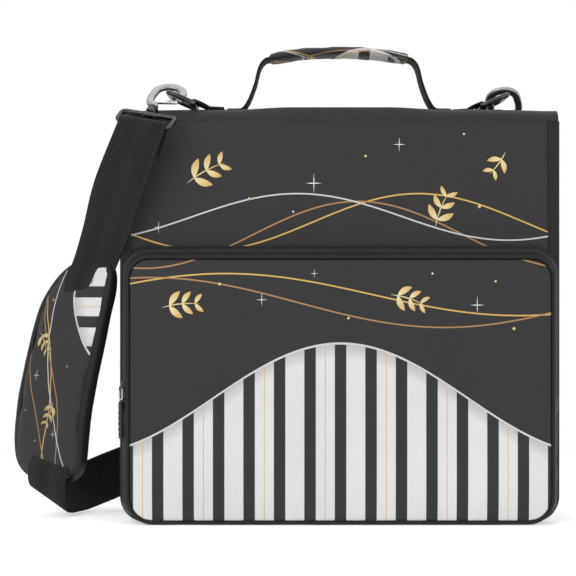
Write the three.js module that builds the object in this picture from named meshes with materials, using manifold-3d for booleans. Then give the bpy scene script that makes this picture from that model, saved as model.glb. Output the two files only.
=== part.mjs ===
// Zippered ring binder that stands on its opening edge, with its spine and carry handle on top.
// Millimetres. X runs along the spine, Y from the front to the back, Z up; z = 0 is the floor.
import * as THREE from 'three';
import { mergeVertices } from 'three/addons/utils/BufferGeometryUtils.js';
import Module from 'manifold-3d';

const wasm = await Module();
wasm.setup();

// Body of the binder
const coverWidth = 340;
const coverHeight = 320;
const spineDepth = 70;
const bottomCorner = 20;
const foldRadius = 10;
const gap = 0.3;
const cornerSteps = 6;

// Layers of a panel, from outside in
const clothThick = 1;
const boardThick = 2;
const liningThick = 0.8;

// Tape that binds the edges
const bindingWidth = 9;
const bindingThick = 0.9;

// Walls that join the covers, and the main zip in them
const wallThick = 1.2;
const wallInset = 6;
const zipY = -6;
const zipGap = 1.4;
const toothWidth = 2.4;
const toothThick = 2.2;
const tapeThick = 0.8;
const tapeWidth = 12;
const zipEndBelowSpine = 5;

// Front pocket
const pocketHeight = 203;
const pocketHalfWidth = 161;
const pocketFoot = 3.4;
const pocketTopCorner = 15;
const pocketBottomCorner = 18;
const pocketDepth = 18;
const pocketPanelThick = 2.4;
const pocketSlopeTop = 10;
const pocketSlopeSide = 7;
const pocketSlopeFoot = 2;
const pocketOuterCorner = 20;
const pocketZipAt = 0.6;
const pocketZipEnd = 93;
const pipingRadius = 1.4;

// Sliders and their pulls
const sliderLength = 13;
const sliderWidth = 8;
const sliderPlate = 1.2;
const mainSliderBelowTop = 22;
const pocketSliderZ = 101;
const pullLength = 30;
const pullWidth = 7;
const wire = 1.5;

// Ring mechanism
const ringSpacing = 108;
const ringCount = 3;
const ringRadius = 19.5;
const ringWire = 3.6;
const plateLength = 276;
const plateWidth = 18;
const plateThick = 1;
const plateDrop = 9.3;
const footLength = 12;
const bladeThick = 1.2;
const bladeDrop = 3;
const bladeWidth = 13;
const leverLength = 18;
const leverWidth = 14;
const leverThick = 1.4;
const rivetRadius = 2.2;
const rivetHead = 4;

// Carry handle
const handleSpan = 152;
const handleRise = 48;
const handleDepth = 25;
const webThick = 2.2;
const handleFoot = 12;
const gripLength = 110;
const gripBow = 5.5;
const gripThick = 7.4;
const gripDepth = 31;

// Tabs, D rings and snap hooks
const tabX = 104;
const tabOffset = 8;
const tabReach = 14;
const tabWidth = 38;
const tabThick = 1.8;
const ringPivotX = 113;
const ringPivotZ = 4.4;
const dWire = 4;
const dDepth = 22;
const dHalfWidth = 23.5;
const dTilt = 24;
const dCorner = 6;
const hookAt = 10.5;
const hookPlay = 6.6;
const hookTurn = 38;
const hookLean = 16;
const hookThick = 4;
const hookBand = 6.4;
const hookHalf = 11.2;
const hookOff = 4.5;
const hookLow = 14;
const hookHigh = 26;
const knobRadius = 4.2;
const knobLength = 8;
const baseWidth = 47;
const baseHeight = 13;
const baseWire = 4;

// Shoulder strap
const strapWidth = 38;
const strapThick = 1.8;
const padLength = 196;
const padWidth = 76;
const padThick = 12;
const glideBar = 3;

const panelThick = clothThick + boardThick + liningThick + 2 * gap;
const halfDepth = spineDepth / 2;
const halfWidth = coverWidth / 2;
const coverTop = coverHeight - foldRadius - gap;
const spineHalf = halfDepth - foldRadius - gap;
const spineInside = coverHeight - panelThick;
const innerY = halfDepth - panelThick;

const binder = new THREE.Group();

// Adds one named piece with its own material to the binder
function piece(name, geometry, color, roughness, metalness = 0) {
  const material = new THREE.MeshStandardMaterial({ color, roughness, metalness });
  const mesh = new THREE.Mesh(geometry, material);
  mesh.name = name;
  binder.add(mesh);
  return mesh;
}

function merged(geometry) {
  const bare = geometry.clone();
  bare.deleteAttribute('normal');
  bare.deleteAttribute('uv');
  return mergeVertices(bare, 1e-4);
}

function toSolid(geometry) {
  const g = merged(geometry);
  return new wasm.Manifold(new wasm.Mesh({
    numProp: 3,
    vertProperties: Float32Array.from(g.attributes.position.array),
    triVerts: Uint32Array.from(g.index.array),
  }));
}

function fromSolid(solid) {
  const mesh = solid.getMesh();
  const g = new THREE.BufferGeometry();
  g.setAttribute('position', new THREE.BufferAttribute(Float32Array.from(mesh.vertProperties), 3));
  g.setIndex(Array.from(mesh.triVerts));
  g.computeVertexNormals();
  return g;
}

function joined(...parts) {
  return fromSolid(parts.map(toSolid).reduce((a, b) => a.add(b)));
}

function cut(body, ...tools) {
  return fromSolid(tools.map(toSolid).reduce((a, b) => a.subtract(b), toSolid(body)));
}

// A box given by its two corners
function boxOf(x0, y0, z0, x1, y1, z1) {
  const g = new THREE.BoxGeometry(x1 - x0, y1 - y0, z1 - z0);
  return g.translate((x0 + x1) / 2, (y0 + y1) / 2, (z0 + z1) / 2);
}

// Skins a list of rings of points, each ring as long as the next, with flat ends or closed on itself
function skin(rings, closed) {
  const n = rings[0].length;
  const positions = rings.flat().flatMap((p) => [p.x, p.y, p.z]);
  const index = [];
  const last = closed ? rings.length : rings.length - 1;
  for (let i = 0; i < last; i += 1) {
    const a = i * n;
    const b = ((i + 1) % rings.length) * n;
    for (let j = 0; j < n; j += 1) {
      const k = (j + 1) % n;
      index.push(a + j, b + j, b + k, a + j, b + k, a + k);
    }
  }
  if (!closed) {
    const end = (rings.length - 1) * n;
    const flat = THREE.ShapeUtils.triangulateShape(flatten(rings[0]), []);
    for (const [p, q, r] of flat) {
      index.push(p, q, r, end + p, end + r, end + q);
    }
  }
  const g = new THREE.BufferGeometry();
  g.setAttribute('position', new THREE.BufferAttribute(Float32Array.from(positions), 3));
  g.setIndex(index);
  if (volumeOf(g) < 0) {
    g.setIndex(index.map((_, i) => index[i - (i % 3) + [0, 2, 1][i % 3]]));
  }
  g.computeVertexNormals();
  return g;
}

// A planar ring of points as 2-D points in its own plane
function flatten(ring) {
  const origin = ring[0];
  const across = ring[1].clone().sub(origin).normalize();
  let normal = new THREE.Vector3();
  for (let i = 0; i < ring.length; i += 1) {
    const p = ring[i].clone().sub(origin);
    normal.add(p.cross(ring[(i + 1) % ring.length].clone().sub(origin)));
  }
  normal = normal.normalize();
  const up = normal.clone().cross(across);
  return ring.map((p) => {
    const d = p.clone().sub(origin);
    return new THREE.Vector2(d.dot(across), d.dot(up));
  });
}

function volumeOf(g) {
  const p = g.attributes.position;
  const v = [0, 1, 2].map(() => new THREE.Vector3());
  let six = 0;
  for (let i = 0; i < g.index.count; i += 3) {
    v.forEach((w, k) => w.fromBufferAttribute(p, g.index.getX(i + k)));
    six += v[0].dot(v[1].clone().cross(v[2]));
  }
  return six / 6;
}

// A section of [out, across] points carried along a flat path whose plane has the given normal
function sweep(path, section, normal, closed = false) {
  const n = path.length;
  const rings = path.map((p, i) => {
    const before = path[closed ? (i + n - 1) % n : Math.max(i - 1, 0)];
    const after = path[closed ? (i + 1) % n : Math.min(i + 1, n - 1)];
    const tangent = after.clone().sub(before).normalize();
    const out = tangent.clone().cross(normal).normalize();
    return section.map(([a, b]) => p.clone().addScaledVector(out, a).addScaledVector(normal, b));
  });
  return skin(rings, closed);
}

function circle(radius, sides = 8) {
  return Array.from({ length: sides }, (_, i) => {
    const t = (i + 0.5) * 2 * Math.PI / sides;
    return [radius * Math.cos(t), radius * Math.sin(t)];
  });
}

function rectangle(a, b) {
  return [[-a / 2, -b / 2], [a / 2, -b / 2], [a / 2, b / 2], [-a / 2, b / 2]];
}

// Points of an arc in the plane of two unit vectors
function arcPoints(centre, u, v, radius, from, to, steps) {
  return Array.from({ length: steps + 1 }, (_, i) => {
    const t = THREE.MathUtils.degToRad(from + (to - from) * i / steps);
    return centre.clone().addScaledVector(u, radius * Math.cos(t))
      .addScaledVector(v, radius * Math.sin(t));
  });
}

const X = new THREE.Vector3(1, 0, 0);
const Y = new THREE.Vector3(0, 1, 0);
const Z = new THREE.Vector3(0, 0, 1);

// Stations of an outline seen from the front: a point, and the way out of the outline there.
// It starts at the top left and runs down, along the bottom and up, and over the top if closed.
function outline({ half, bottom, top, lowRadius, highRadius = 0, over = false }) {
  const stations = [];
  const corner = (cx, cz, radius, from) => {
    for (let i = 0; i <= cornerSteps; i += 1) {
      const t = THREE.MathUtils.degToRad(from + 90 * i / cornerSteps);
      const way = new THREE.Vector3(Math.cos(t), 0, Math.sin(t));
      stations.push({ at: new THREE.Vector3(cx, 0, cz).addScaledVector(way, radius), way });
    }
  };
  if (!over) {
    stations.push({ at: new THREE.Vector3(-half, 0, top), way: new THREE.Vector3(-1, 0, 0) });
  }
  corner(-half + lowRadius, bottom + lowRadius, lowRadius, 180);
  corner(half - lowRadius, bottom + lowRadius, lowRadius, 270);
  if (over) {
    corner(half - highRadius, top - highRadius, highRadius, 0);
    corner(-half + highRadius, top - highRadius, highRadius, 90);
  } else {
    stations.push({ at: new THREE.Vector3(half, 0, top), way: new THREE.Vector3(1, 0, 0) });
  }
  return stations;
}

// A section of [out, y] points carried round an outline
function around(stations, section, closed = false) {
  const rings = stations.map((s) => section.map(([o, y]) => {
    const p = s.at.clone().addScaledVector(s.way, o);
    return p.setY(y);
  }));
  return skin(rings, closed);
}

// A flat sheet whose outline is given by stations, between two y planes
function sheet(stations, inset, y0, y1) {
  const shape = new THREE.Shape(stations.map((s) => {
    const p = s.at.clone().addScaledVector(s.way, -inset);
    return new THREE.Vector2(p.x, p.z);
  }));
  const g = new THREE.ExtrudeGeometry(shape, { depth: y1 - y0, bevelEnabled: false });
  return g.rotateX(Math.PI / 2).translate(0, y1, 0);
}

// Colours
const cloth = 0x3b3b3b;
const print = 0x8c8c8c;
const lining = 0x1f1f20;
const tape = 0x1b1b1b;
const webbing = 0x262626;
const steel = 0x55565a;
const gunmetal = 0x2b2b2b;
const bright = 0xc9c9cc;

const coverOutline = outline({
  half: halfWidth, bottom: 0, top: coverTop, lowRadius: bottomCorner,
});
const wallOutline = outline({
  half: halfWidth - wallInset, bottom: 0, top: spineInside - gap, lowRadius: bottomCorner,
});
const zipOutline = outline({
  half: halfWidth - wallInset, bottom: 0, top: spineInside - zipEndBelowSpine,
  lowRadius: bottomCorner,
});

// One cover: cloth, board and lining, the tape round their edge, half of the wall and of the zip.
// side is -1 at the front and 1 at the back.
function cover(name, side) {
  const layer = (layerName, from, thick, color, rough) => {
    const ys = [side * (halfDepth - from), side * (halfDepth - from - thick)];
    const g = sheet(coverOutline, bindingThick + gap, Math.min(...ys), Math.max(...ys));
    piece(layerName, g, color, rough);
  };
  const boardFrom = clothThick + gap;
  const liningFrom = boardFrom + boardThick + gap;
  layer(`${name}_cloth`, 0, clothThick, cloth, 0.8);
  layer(`${name}_board`, boardFrom, boardThick, 0x8a7a60, 0.9);
  layer(`${name}_lining`, liningFrom, liningThick, lining, 0.7);

  const y0 = halfDepth + gap;
  const y1 = innerY - gap;
  const rolled = 0.6;
  const binding = [
    [-bindingWidth, y0], [-bindingWidth, y0 + bindingThick], [-rolled, y0 + bindingThick],
    [0, y0 + bindingThick - rolled], [0, y1 - bindingThick + rolled],
    [-rolled, y1 - bindingThick], [-bindingWidth, y1 - bindingThick], [-bindingWidth, y1],
    [-bindingThick, y1], [-bindingThick, y0],
  ].map(([o, y]) => [o, side * y]);
  piece(`${name}_binding`, around(coverOutline, binding), tape, 0.55);

  const wallFrom = y1 - bindingThick - gap;
  const edge = zipY + side * (sliderWidth / 2 + gap);
  const wall = [
    [0, side * wallFrom], [0, edge], [-wallThick, edge], [-wallThick, side * wallFrom],
  ];
  piece(`${name}_wall`, around(wallOutline, wall), cloth, 0.8);

  const inner = zipY + side * zipGap / 2;
  const root = inner + side * toothWidth;
  const tapeFrom = -wallThick - gap;
  const tapeTo = tapeFrom - tapeThick;
  const toothFrom = tapeFrom + toothThick / 2 - tapeThick / 2;
  const half = [
    [toothFrom, inner], [toothFrom, root], [tapeFrom, root], [tapeFrom, root + side * tapeWidth],
    [tapeTo, root + side * tapeWidth], [tapeTo, root], [toothFrom - toothThick, root],
    [toothFrom - toothThick, inner],
  ];
  piece(`main_zip_${name.split('_')[0]}`, around(zipOutline, half), steel, 0.5);
}

cover('front_cover', -1);
cover('back_cover', 1);

// Spine: cloth, board and lining across the top, and the cloth that folds down to each cover
function spine() {
  const halfLength = halfWidth - bindingThick;
  const layer = (name, from, thick, color, rough) => {
    const top = coverHeight - from;
    const g = boxOf(-halfLength, -spineHalf, top - thick, halfLength, spineHalf, top);
    piece(name, g, color, rough);
  };
  const boardFrom = clothThick + gap;
  const liningFrom = boardFrom + boardThick + gap;
  layer('spine_cloth', 0, clothThick, cloth, 0.8);
  layer('spine_board', boardFrom, boardThick, 0x8a7a60, 0.9);
  layer('spine_lining', liningFrom, liningThick, lining, 0.7);
  for (const [name, side] of [['front', -1], ['back', 1]]) {
    const centre = new THREE.Vector3(-halfLength, side * (halfDepth - foldRadius), coverTop + gap);
    const radius = foldRadius - webThick / 2;
    const path = arcPoints(centre, Y.clone().multiplyScalar(side), Z, radius, 0, 90, 6);
    const strip = sweep(path, [[-1, 0], [1, 0], [1, 2 * halfLength], [-1, 2 * halfLength]], X);
    piece(`fold_cloth_${name}`, strip, cloth, 0.8);
  }
}
spine();

// Front pocket: a raised panel, and sloping sides with the zip in them
const pocketBase = -(halfDepth + gap + bindingThick + wallThick);
const pocketFace = -(halfDepth + pocketDepth);
const panelOutline = outline({
  half: pocketHalfWidth, bottom: pocketFoot, top: pocketHeight, lowRadius: pocketBottomCorner,
  highRadius: pocketTopCorner, over: true,
});
const footOutline = outline({
  half: pocketHalfWidth + pocketSlopeSide, bottom: pocketFoot - pocketSlopeFoot,
  top: pocketHeight + pocketSlopeTop, lowRadius: pocketOuterCorner,
  highRadius: pocketOuterCorner, over: true,
});
const bandTop = pocketFace + pocketPanelThick + gap;

// Stations of the sloping band: from the panel's edge to the cover, with the way out of the cloth
const bandStations = panelOutline.map((s, i) => {
  const from = s.at.clone().setY(bandTop);
  const to = footOutline[i].at.clone().setY(pocketBase);
  const along = to.clone().sub(from);
  const unit = along.clone().normalize();
  const way = s.way.clone().addScaledVector(unit, -s.way.dot(unit)).normalize();
  return { from, along, unit, way, length: along.length() };
});

// Splits the run of stations at a height on each side
function bandAt(z, left) {
  const upright = bandStations.filter((s) => (left ? s.from.x < 0 : s.from.x > 0));
  const sorted = upright.slice().sort((a, b) => a.from.z - b.from.z);
  const k = sorted.findIndex((s) => s.from.z > pocketHeight / 2);
  const [a, b] = [sorted[k - 1], sorted[k]];
  const t = (z - a.from.z) / (b.from.z - a.from.z);
  const from = a.from.clone().lerp(b.from, t);
  const to = a.from.clone().add(a.along).lerp(b.from.clone().add(b.along), t);
  const along = to.clone().sub(from);
  const unit = along.clone().normalize();
  return { from, along, unit, way: a.way.clone(), length: along.length() };
}

// A section of [along the slope in mm, out of the cloth in mm] carried over band stations
function slope(stations, section) {
  return skin(stations.map((s) => section(s.length).map(([t, h]) => (
    s.from.clone().addScaledVector(s.unit, t).addScaledVector(s.way, h)))), false);
}

const lowCount = 2 * (cornerSteps + 1);
const lowRun = [bandAt(pocketZipEnd, true), ...bandStations.slice(0, lowCount),
  bandAt(pocketZipEnd, false)];
const zipFrom = pocketZipEnd + gap;
const highRun = [bandAt(zipFrom, false), ...bandStations.slice(lowCount),
  bandAt(zipFrom, true)];

function pocket() {
  piece('pocket_panel', sheet(panelOutline, 0, pocketFace, pocketFace + pocketPanelThick),
    print, 0.7);
  const pipeY = pocketFace + pocketPanelThick / 2;
  const pipe = circle(pipingRadius).map(([a, b]) => [a + pipingRadius + gap, b + pipeY]);
  piece('pocket_piping', around(panelOutline, pipe, true), tape, 0.5);
  const thick = wallThick / 2;
  piece('pocket_wall', slope(lowRun, (n) => [[0, -thick], [n, -thick], [n, thick], [0, thick]]),
    cloth, 0.8);
  const tooth = toothThick / 2;
  piece('pocket_zip_outer', slope(highRun, (n) => {
    const mid = n * pocketZipAt - zipGap / 2;
    return [[0, -thick], [mid - toothWidth, -thick], [mid - toothWidth, -tooth], [mid, -tooth],
      [mid, tooth], [mid - toothWidth, tooth], [mid - toothWidth, thick], [0, thick]];
  }), steel, 0.5);
  piece('pocket_zip_inner', slope(highRun, (n) => {
    const mid = n * pocketZipAt + zipGap / 2;
    return [[mid, -tooth], [mid + toothWidth, -tooth], [mid + toothWidth, -thick], [n, -thick],
      [n, thick], [mid + toothWidth, thick], [mid + toothWidth, tooth], [mid, tooth]];
  }), steel, 0.5);
}
pocket();

// Slip pockets sewn to the linings
function slipPocket(name, side, half, top) {
  const low = bottomCorner + wallThick;
  const y0 = side * (innerY - gap);
  const y1 = side * (innerY - gap - clothThick);
  const g = boxOf(-half, Math.min(y0, y1), low, half, Math.max(y0, y1), top);
  piece(name, g, lining, 0.6);
}
slipPocket('inner_pocket_front', -1, halfWidth - bottomCorner, pocketHeight);
slipPocket('inner_pocket_back', 1, pocketHalfWidth * 0.7, pocketHeight - pocketTopCorner);

// A slider: two plates joined by a thin web between the rows of teeth, and a lug for the pull.
// It is drawn with the zip along Z, its plates facing -X and the zip's width along Y.
function slider(name, place) {
  const inside = toothThick / 2 + gap;
  const outside = inside + sliderPlate;
  const w = sliderWidth / 2;
  const l = sliderLength / 2;
  const web = zipGap / 2 - gap;
  const lugTop = outside + 2.2;
  const body = joined(
    boxOf(-outside, -w, -l, -inside, w, l),
    boxOf(inside, -w, -l, outside, w, l),
    boxOf(-inside - 0.1, -web, -l / 2, inside + 0.1, web, l),
    boxOf(-lugTop, -1.6, -1, -outside + 0.1, 1.6, 3),
  );
  const hole = boxOf(-outside - 1.6, -2, 0, -outside - 0.1, 2, 1.9);
  const mesh = piece(name, cut(body, hole), gunmetal, 0.35, 0.9);
  mesh.applyMatrix4(place);
  return outside;
}

// A pull: a wire loop through the lug of a slider, and a flat tongue that hangs from it
function pull(name, place, tongueColor, bail) {
  const reach = toothThick / 2 + gap + sliderPlate + 0.85;
  const loop = (low, high, half, x) => [
    new THREE.Vector3(x, -half, high), new THREE.Vector3(x, -half, low + 1),
    new THREE.Vector3(x, -half + 1, low), new THREE.Vector3(x, half - 1, low),
    new THREE.Vector3(x, half, low + 1), new THREE.Vector3(x, half, high),
  ];
  const ring = loop(bail ? -7 : -4, 0.95, 3, -reach);
  const wireLoop = sweep(ring, circle(0.5, 6), X, true);
  const top = bail ? -7.8 : -4.9;
  const tongue = boxOf(-reach - 0.7, -pullWidth / 2, top - pullLength, -reach + 0.7,
    pullWidth / 2, top + 0.1);
  if (bail) {
    const tab = boxOf(-reach - wire, -pullWidth / 3, top - pullLength, -reach + wire,
      pullWidth / 3, top);
    piece(`${name}_loop`, wireLoop, bright, 0.3, 0.9).applyMatrix4(place);
    piece(`${name}_tab`, tab, tongueColor, 0.6).applyMatrix4(place);
  } else {
    const joint = boxOf(-reach - 0.5, -1, top, -reach + 0.5, 1, top + 1.3);
    piece(name, joined(wireLoop, joint, tongue), tongueColor, 0.35, 0.9).applyMatrix4(place);
  }
}

const mainSliderZ = spineInside - zipEndBelowSpine - mainSliderBelowTop;
const chainX = halfWidth - wallInset - wallThick - gap - tapeThick / 2;
const mainPlace = new THREE.Matrix4().makeTranslation(-chainX, zipY, mainSliderZ);
slider('main_slider', mainPlace);
pull('main_slider_pull', mainPlace, gunmetal, false);

const chain = bandAt(pocketSliderZ, true);
const chainPoint = chain.from.clone().addScaledVector(chain.unit, chain.length * pocketZipAt);
const pocketTurn = Math.atan2(chain.way.y, chain.way.x) - Math.PI;
const pocketPlace = new THREE.Matrix4().makeTranslation(...chainPoint)
  .multiply(new THREE.Matrix4().makeRotationZ(pocketTurn));
slider('pocket_slider', pocketPlace);
pull('pocket_pull', pocketPlace, tape, true);

// Ring mechanism inside the spine, with its half rings hanging down
function rings() {
  const top = spineInside - gap;
  const sheetTop = top - plateDrop;
  const half = plateLength / 2;
  const w = plateWidth / 2;
  const foot = (x) => boxOf(x - footLength / 2, -w, sheetTop - plateThick / 2, x + footLength / 2,
    w, top);
  const at = half - footLength / 2;
  const hole = (x) => {
    const g = new THREE.CylinderGeometry(rivetRadius + gap, rivetRadius + gap, 40, 16);
    return g.rotateX(Math.PI / 2).translate(x, 0, top - 10);
  };
  const plate = joined(boxOf(-half, -w, sheetTop - plateThick, half, w, sheetTop),
    foot(-at), foot(at));
  piece('ring_plate', cut(plate, hole(-at), hole(at)), bright, 0.25, 0.95);
  for (const [name, side] of [['left', -1], ['right', 1]]) {
    const r = rivetRadius;
    const low = sheetTop - plateThick - gap;
    const points = [[0, top], [r, top], [r, low], [rivetHead, low], [rivetHead, low - 1],
      [r, low - 2], [0, low - 2]].reverse().map(([a, b]) => new THREE.Vector2(a, b));
    const rivet = new THREE.LatheGeometry(points, 16).rotateX(Math.PI / 2);
    piece(`ring_rivet_${name}`, rivet.translate(side * at, 0, 0), bright, 0.3, 0.9);
    const x0 = half + gap;
    const lever = boxOf(x0, -leverWidth / 2, sheetTop - leverThick - plateThick,
      x0 + leverLength, leverWidth / 2, sheetTop - plateThick);
    const lip = boxOf(x0 + leverLength - 2, -leverWidth / 2, sheetTop - leverThick - plateThick - 2,
      x0 + leverLength, leverWidth / 2, sheetTop - leverThick);
    const g = joined(lever, lip);
    piece(`ring_lever_${name}`, side < 0 ? g.rotateZ(Math.PI) : g, bright, 0.3, 0.9);
  }
  const bladeTop = top - bladeDrop;
  const postY = bladeWidth - ringWire / 2 + gap;
  for (const [name, side] of [['front', -1], ['back', 1]]) {
    const y0 = side * gap;
    const y1 = side * bladeWidth;
    piece(`ring_blade_${name}`, boxOf(-half + footLength + 1, Math.min(y0, y1),
      bladeTop - bladeThick, half - footLength - 1, Math.max(y0, y1), bladeTop), bright, 0.3, 0.9);
    const postTop = bladeTop - bladeThick - gap;
    const turn = THREE.MathUtils.radToDeg(Math.acos(postY / ringRadius));
    const centreZ = ringCentre();
    for (let i = 0; i < ringCount; i += 1) {
      const x = (i - (ringCount - 1) / 2) * ringSpacing;
      const centre = new THREE.Vector3(x, 0, centreZ);
      const out = Y.clone().multiplyScalar(side);
      const path = [new THREE.Vector3(x, side * postY, postTop),
        ...arcPoints(centre, out, Z, ringRadius, turn, -89.3, 14)];
      piece(`ring_${i + 1}_${name}`, sweep(path, circle(ringWire / 2), X), bright, 0.2, 1);
    }
  }
}

// The rings' centre hangs so far down that their posts come up straight to the blades
function ringCentre() {
  const postY = bladeWidth - ringWire / 2 + gap;
  const reach = Math.sqrt(ringRadius ** 2 - postY ** 2);
  return spineInside - gap - plateDrop - plateThick - ringWire / 2 - reach;
}
rings();

// Carry handle: a webbing bow sewn flat to the spine, with a padded sleeve round its middle
function handle() {
  const z0 = coverHeight + gap + webThick / 2;
  const half = handleSpan / 2;
  const shoulder = gripLength / 2 + 3;
  const high = coverHeight + handleRise;
  const way = (points, s) => points.map(([x, z]) => new THREE.Vector3(s * x, 0, z));
  const right = new THREE.CatmullRomCurve3(way([
    [gripLength / 2 - 2, high - gripBow], [shoulder, high - 7], [shoulder + 4, high - 12],
    [shoulder + 8, high - 26.5], [half - 4.5, z0 + 6.5], [half, z0 + 0.8], [half + 6, z0],
    [half + handleFoot, z0],
  ], 1)).getPoints(22);
  const left = right.map((p) => new THREE.Vector3(-p.x, 0, p.z)).reverse();
  const over = Array.from({ length: 9 }, (_, i) => {
    const t = (i + 1) / 10 * 2 - 1;
    return new THREE.Vector3(t * (gripLength / 2 - 2), 0, high - gripBow * t * t);
  });
  const path = [...left, ...over, ...right];
  piece('handle_webbing', sweep(path, rectangle(webThick, handleDepth), Y), webbing, 0.85);
  const sleevePath = Array.from({ length: 15 }, (_, i) => {
    const t = i / 7 - 1;
    return new THREE.Vector3(t * gripLength / 2, 0, high - gripBow * t * t);
  });
  const round = Array.from({ length: 16 }, (_, i) => {
    const a = (i + 0.5) * Math.PI / 8;
    const c = Math.cos(a);
    return [gripThick / 2 * c, gripDepth / 2 * Math.sign(Math.sin(a)) * Math.abs(Math.sin(a)) ** 0.6];
  });
  const sleeve = sweep(sleevePath, round, Y);
  const slot = sweep(path.filter((p) => Math.abs(p.x) < shoulder + 3),
    rectangle(webThick + 2 * gap, handleDepth + 2 * gap), Y);
  piece('handle_grip', cut(sleeve, slot), print, 0.75);
}
handle();

// Tabs on the spine and the D rings in them; side is -1 at the left and 1 at the right
function dRing(name, side) {
  const pivot = new THREE.Vector3(side * ringPivotX, side * tabOffset, coverHeight + ringPivotZ);
  const away = new THREE.Vector3(side * Math.cos(THREE.MathUtils.degToRad(dTilt)), 0,
    Math.sin(THREE.MathUtils.degToRad(dTilt)));
  const round = dCorner;
  const corner = pivot.clone().addScaledVector(away, dDepth - round);
  const foot = 1.5;
  const path = [
    pivot.clone().addScaledVector(Y, dHalfWidth - foot),
    pivot.clone().addScaledVector(Y, dHalfWidth).addScaledVector(away, foot),
    ...arcPoints(corner.clone().addScaledVector(Y, dHalfWidth - round), Y, away, round, 0, 90, 5),
    ...arcPoints(corner.clone().addScaledVector(Y, round - dHalfWidth), Y, away, round, 90, 180, 5),
    pivot.clone().addScaledVector(Y, -dHalfWidth).addScaledVector(away, foot),
    pivot.clone().addScaledVector(Y, foot - dHalfWidth),
  ];
  const normal = Y.clone().cross(away).normalize();
  piece(`d_ring_${name}`, sweep(path, circle(dWire / 2), normal, true), gunmetal, 0.35, 0.9);

  const inner = dWire / 2 + gap + tabThick / 2;
  const low = coverHeight + gap + tabThick / 2;
  const inwards = X.clone().multiplyScalar(-side);
  const loop = arcPoints(pivot, inwards, Z, inner, 90, 262, 9);
  const end = new THREE.Vector3(side * (tabX - tabReach), pivot.y, low);
  const fold = new THREE.Vector3(side * (tabX - 3), pivot.y, low + 1);
  const strip = [end, fold, ...loop];
  piece(`d_ring_tab_${name}`, sweep(strip, rectangle(tabThick, tabWidth), Y), webbing, 0.85);
  return { pivot, away };
}

// A snap hook in its own frame: u runs up the hook from the swivel, v across it, w out of its face
function snapHook(name, frame) {
  const at = (v, u, w = 0) => frame.origin.clone().addScaledVector(frame.v, v)
    .addScaledVector(frame.u, u).addScaledVector(frame.w, w);
  const place = new THREE.Matrix4().makeBasis(frame.v, frame.u, frame.w)
    .setPosition(frame.origin);
  const left = -hookHalf + hookOff;
  const right = hookHalf + hookOff;
  const stem = [at(0, knobLength / 2 - 1), at(0, knobLength / 2 + 3), at(left * 0.7, hookLow - 4),
    at(left, hookLow + 3)];
  const arch = arcPoints(at(hookOff, hookHigh), frame.v, frame.u, hookHalf, 180, 0, 10);
  const tip = [at(right, hookHigh - 5), at(right - 0.4, hookHigh - 8)];
  const crook = sweep([...stem, ...arch, ...tip], rectangle(hookBand, hookThick), frame.w);
  const knob = new THREE.CylinderGeometry(knobRadius, knobRadius, knobLength, 14);
  piece(`hook_${name}`, joined(crook, knob.applyMatrix4(place)), 0x96979a, 0.35, 0.8);

  const gateFrom = at(left + hookBand * 1.15, hookLow - 1.5);
  const gateTo = at(right, hookHigh - 8 - gap * 6);
  const across = gateTo.clone().sub(gateFrom).normalize();
  const gatePath = [gateFrom.addScaledVector(across, 2), gateTo];
  piece(`hook_gate_${name}`, sweep(gatePath, rectangle(2.4, hookThick - 1.4), frame.w),
    bright, 0.25, 0.9);

  const h = baseHeight;
  const b = baseWidth / 2 - baseWire / 2;
  const topU = -knobLength / 2 - gap - baseWire / 2;
  const r = 3;
  const ring = [
    ...arcPoints(at(b - r, topU - r), frame.v, frame.u, r, 0, 90, 3),
    ...arcPoints(at(r - b, topU - r), frame.v, frame.u, r, 90, 180, 3),
    ...arcPoints(at(r - b, topU - h + r), frame.v, frame.u, r, 180, 270, 3),
    ...arcPoints(at(b - r, topU - h + r), frame.v, frame.u, r, 270, 360, 3),
  ];
  const loop = sweep(ring, circle(baseWire / 2), frame.w, true);
  const collar = boxOf(-6, topU - 3.5, -2.4, 6, topU + baseWire / 2, 2.4).applyMatrix4(place);
  piece(`hook_base_${name}`, joined(loop, collar), gunmetal, 0.4, 0.9);
  return { bar: at(0, topU - h), swivel: at(0, topU) };
}
// The hook hangs from its D ring and leans over the fold between spine and cover
function hookFrame(side, along) {
  const turn = THREE.MathUtils.degToRad(hookTurn);
  const lean = THREE.MathUtils.degToRad(hookLean);
  const rise = new THREE.Vector3(0, along * Math.cos(turn), Math.sin(turn));
  const u = rise.clone().multiplyScalar(Math.cos(lean)).addScaledVector(X, -side * Math.sin(lean));
  const w = new THREE.Vector3(0, -along * Math.sin(turn), Math.cos(turn));
  const v = u.clone().cross(w).normalize();
  if (v.x * side > 0) v.negate();
  const face = v.clone().cross(u).normalize();
  return { u, v, w: face };
}

const leftRing = dRing('left', -1);
const rightRing = dRing('right', 1);

function hang(name, side, along, ringInfo) {
  const frame = hookFrame(side, along);
  const corner = ringInfo.pivot.clone().addScaledVector(ringInfo.away, dDepth)
    .addScaledVector(Y, -along * hookAt);
  const reach = hookHigh + hookHalf - hookBand / 2 - hookPlay;
  frame.origin = corner.clone().addScaledVector(frame.u, -reach).addScaledVector(frame.v, -hookOff);
  return { frame, ...snapHook(name, frame) };
}
const leftHook = hang('left', -1, 1, leftRing);
const rightHook = hang('right', 1, -1, rightRing);

// A band between two edges: each station is a pair of points, and the cloth lies between them
function band(stations, thick) {
  const n = stations.length;
  const middle = stations.map(([l, r]) => l.clone().add(r).multiplyScalar(0.5));
  return skin(stations.map(([l, r], i) => {
    const tangent = middle[Math.min(i + 1, n - 1)].clone().sub(middle[Math.max(i - 1, 0)]);
    const across = r.clone().sub(l);
    const normal = tangent.cross(across).normalize().multiplyScalar(thick / 2);
    return [l.clone().add(normal), r.clone().add(normal), r.clone().sub(normal),
      l.clone().sub(normal)];
  }), false);
}

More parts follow.
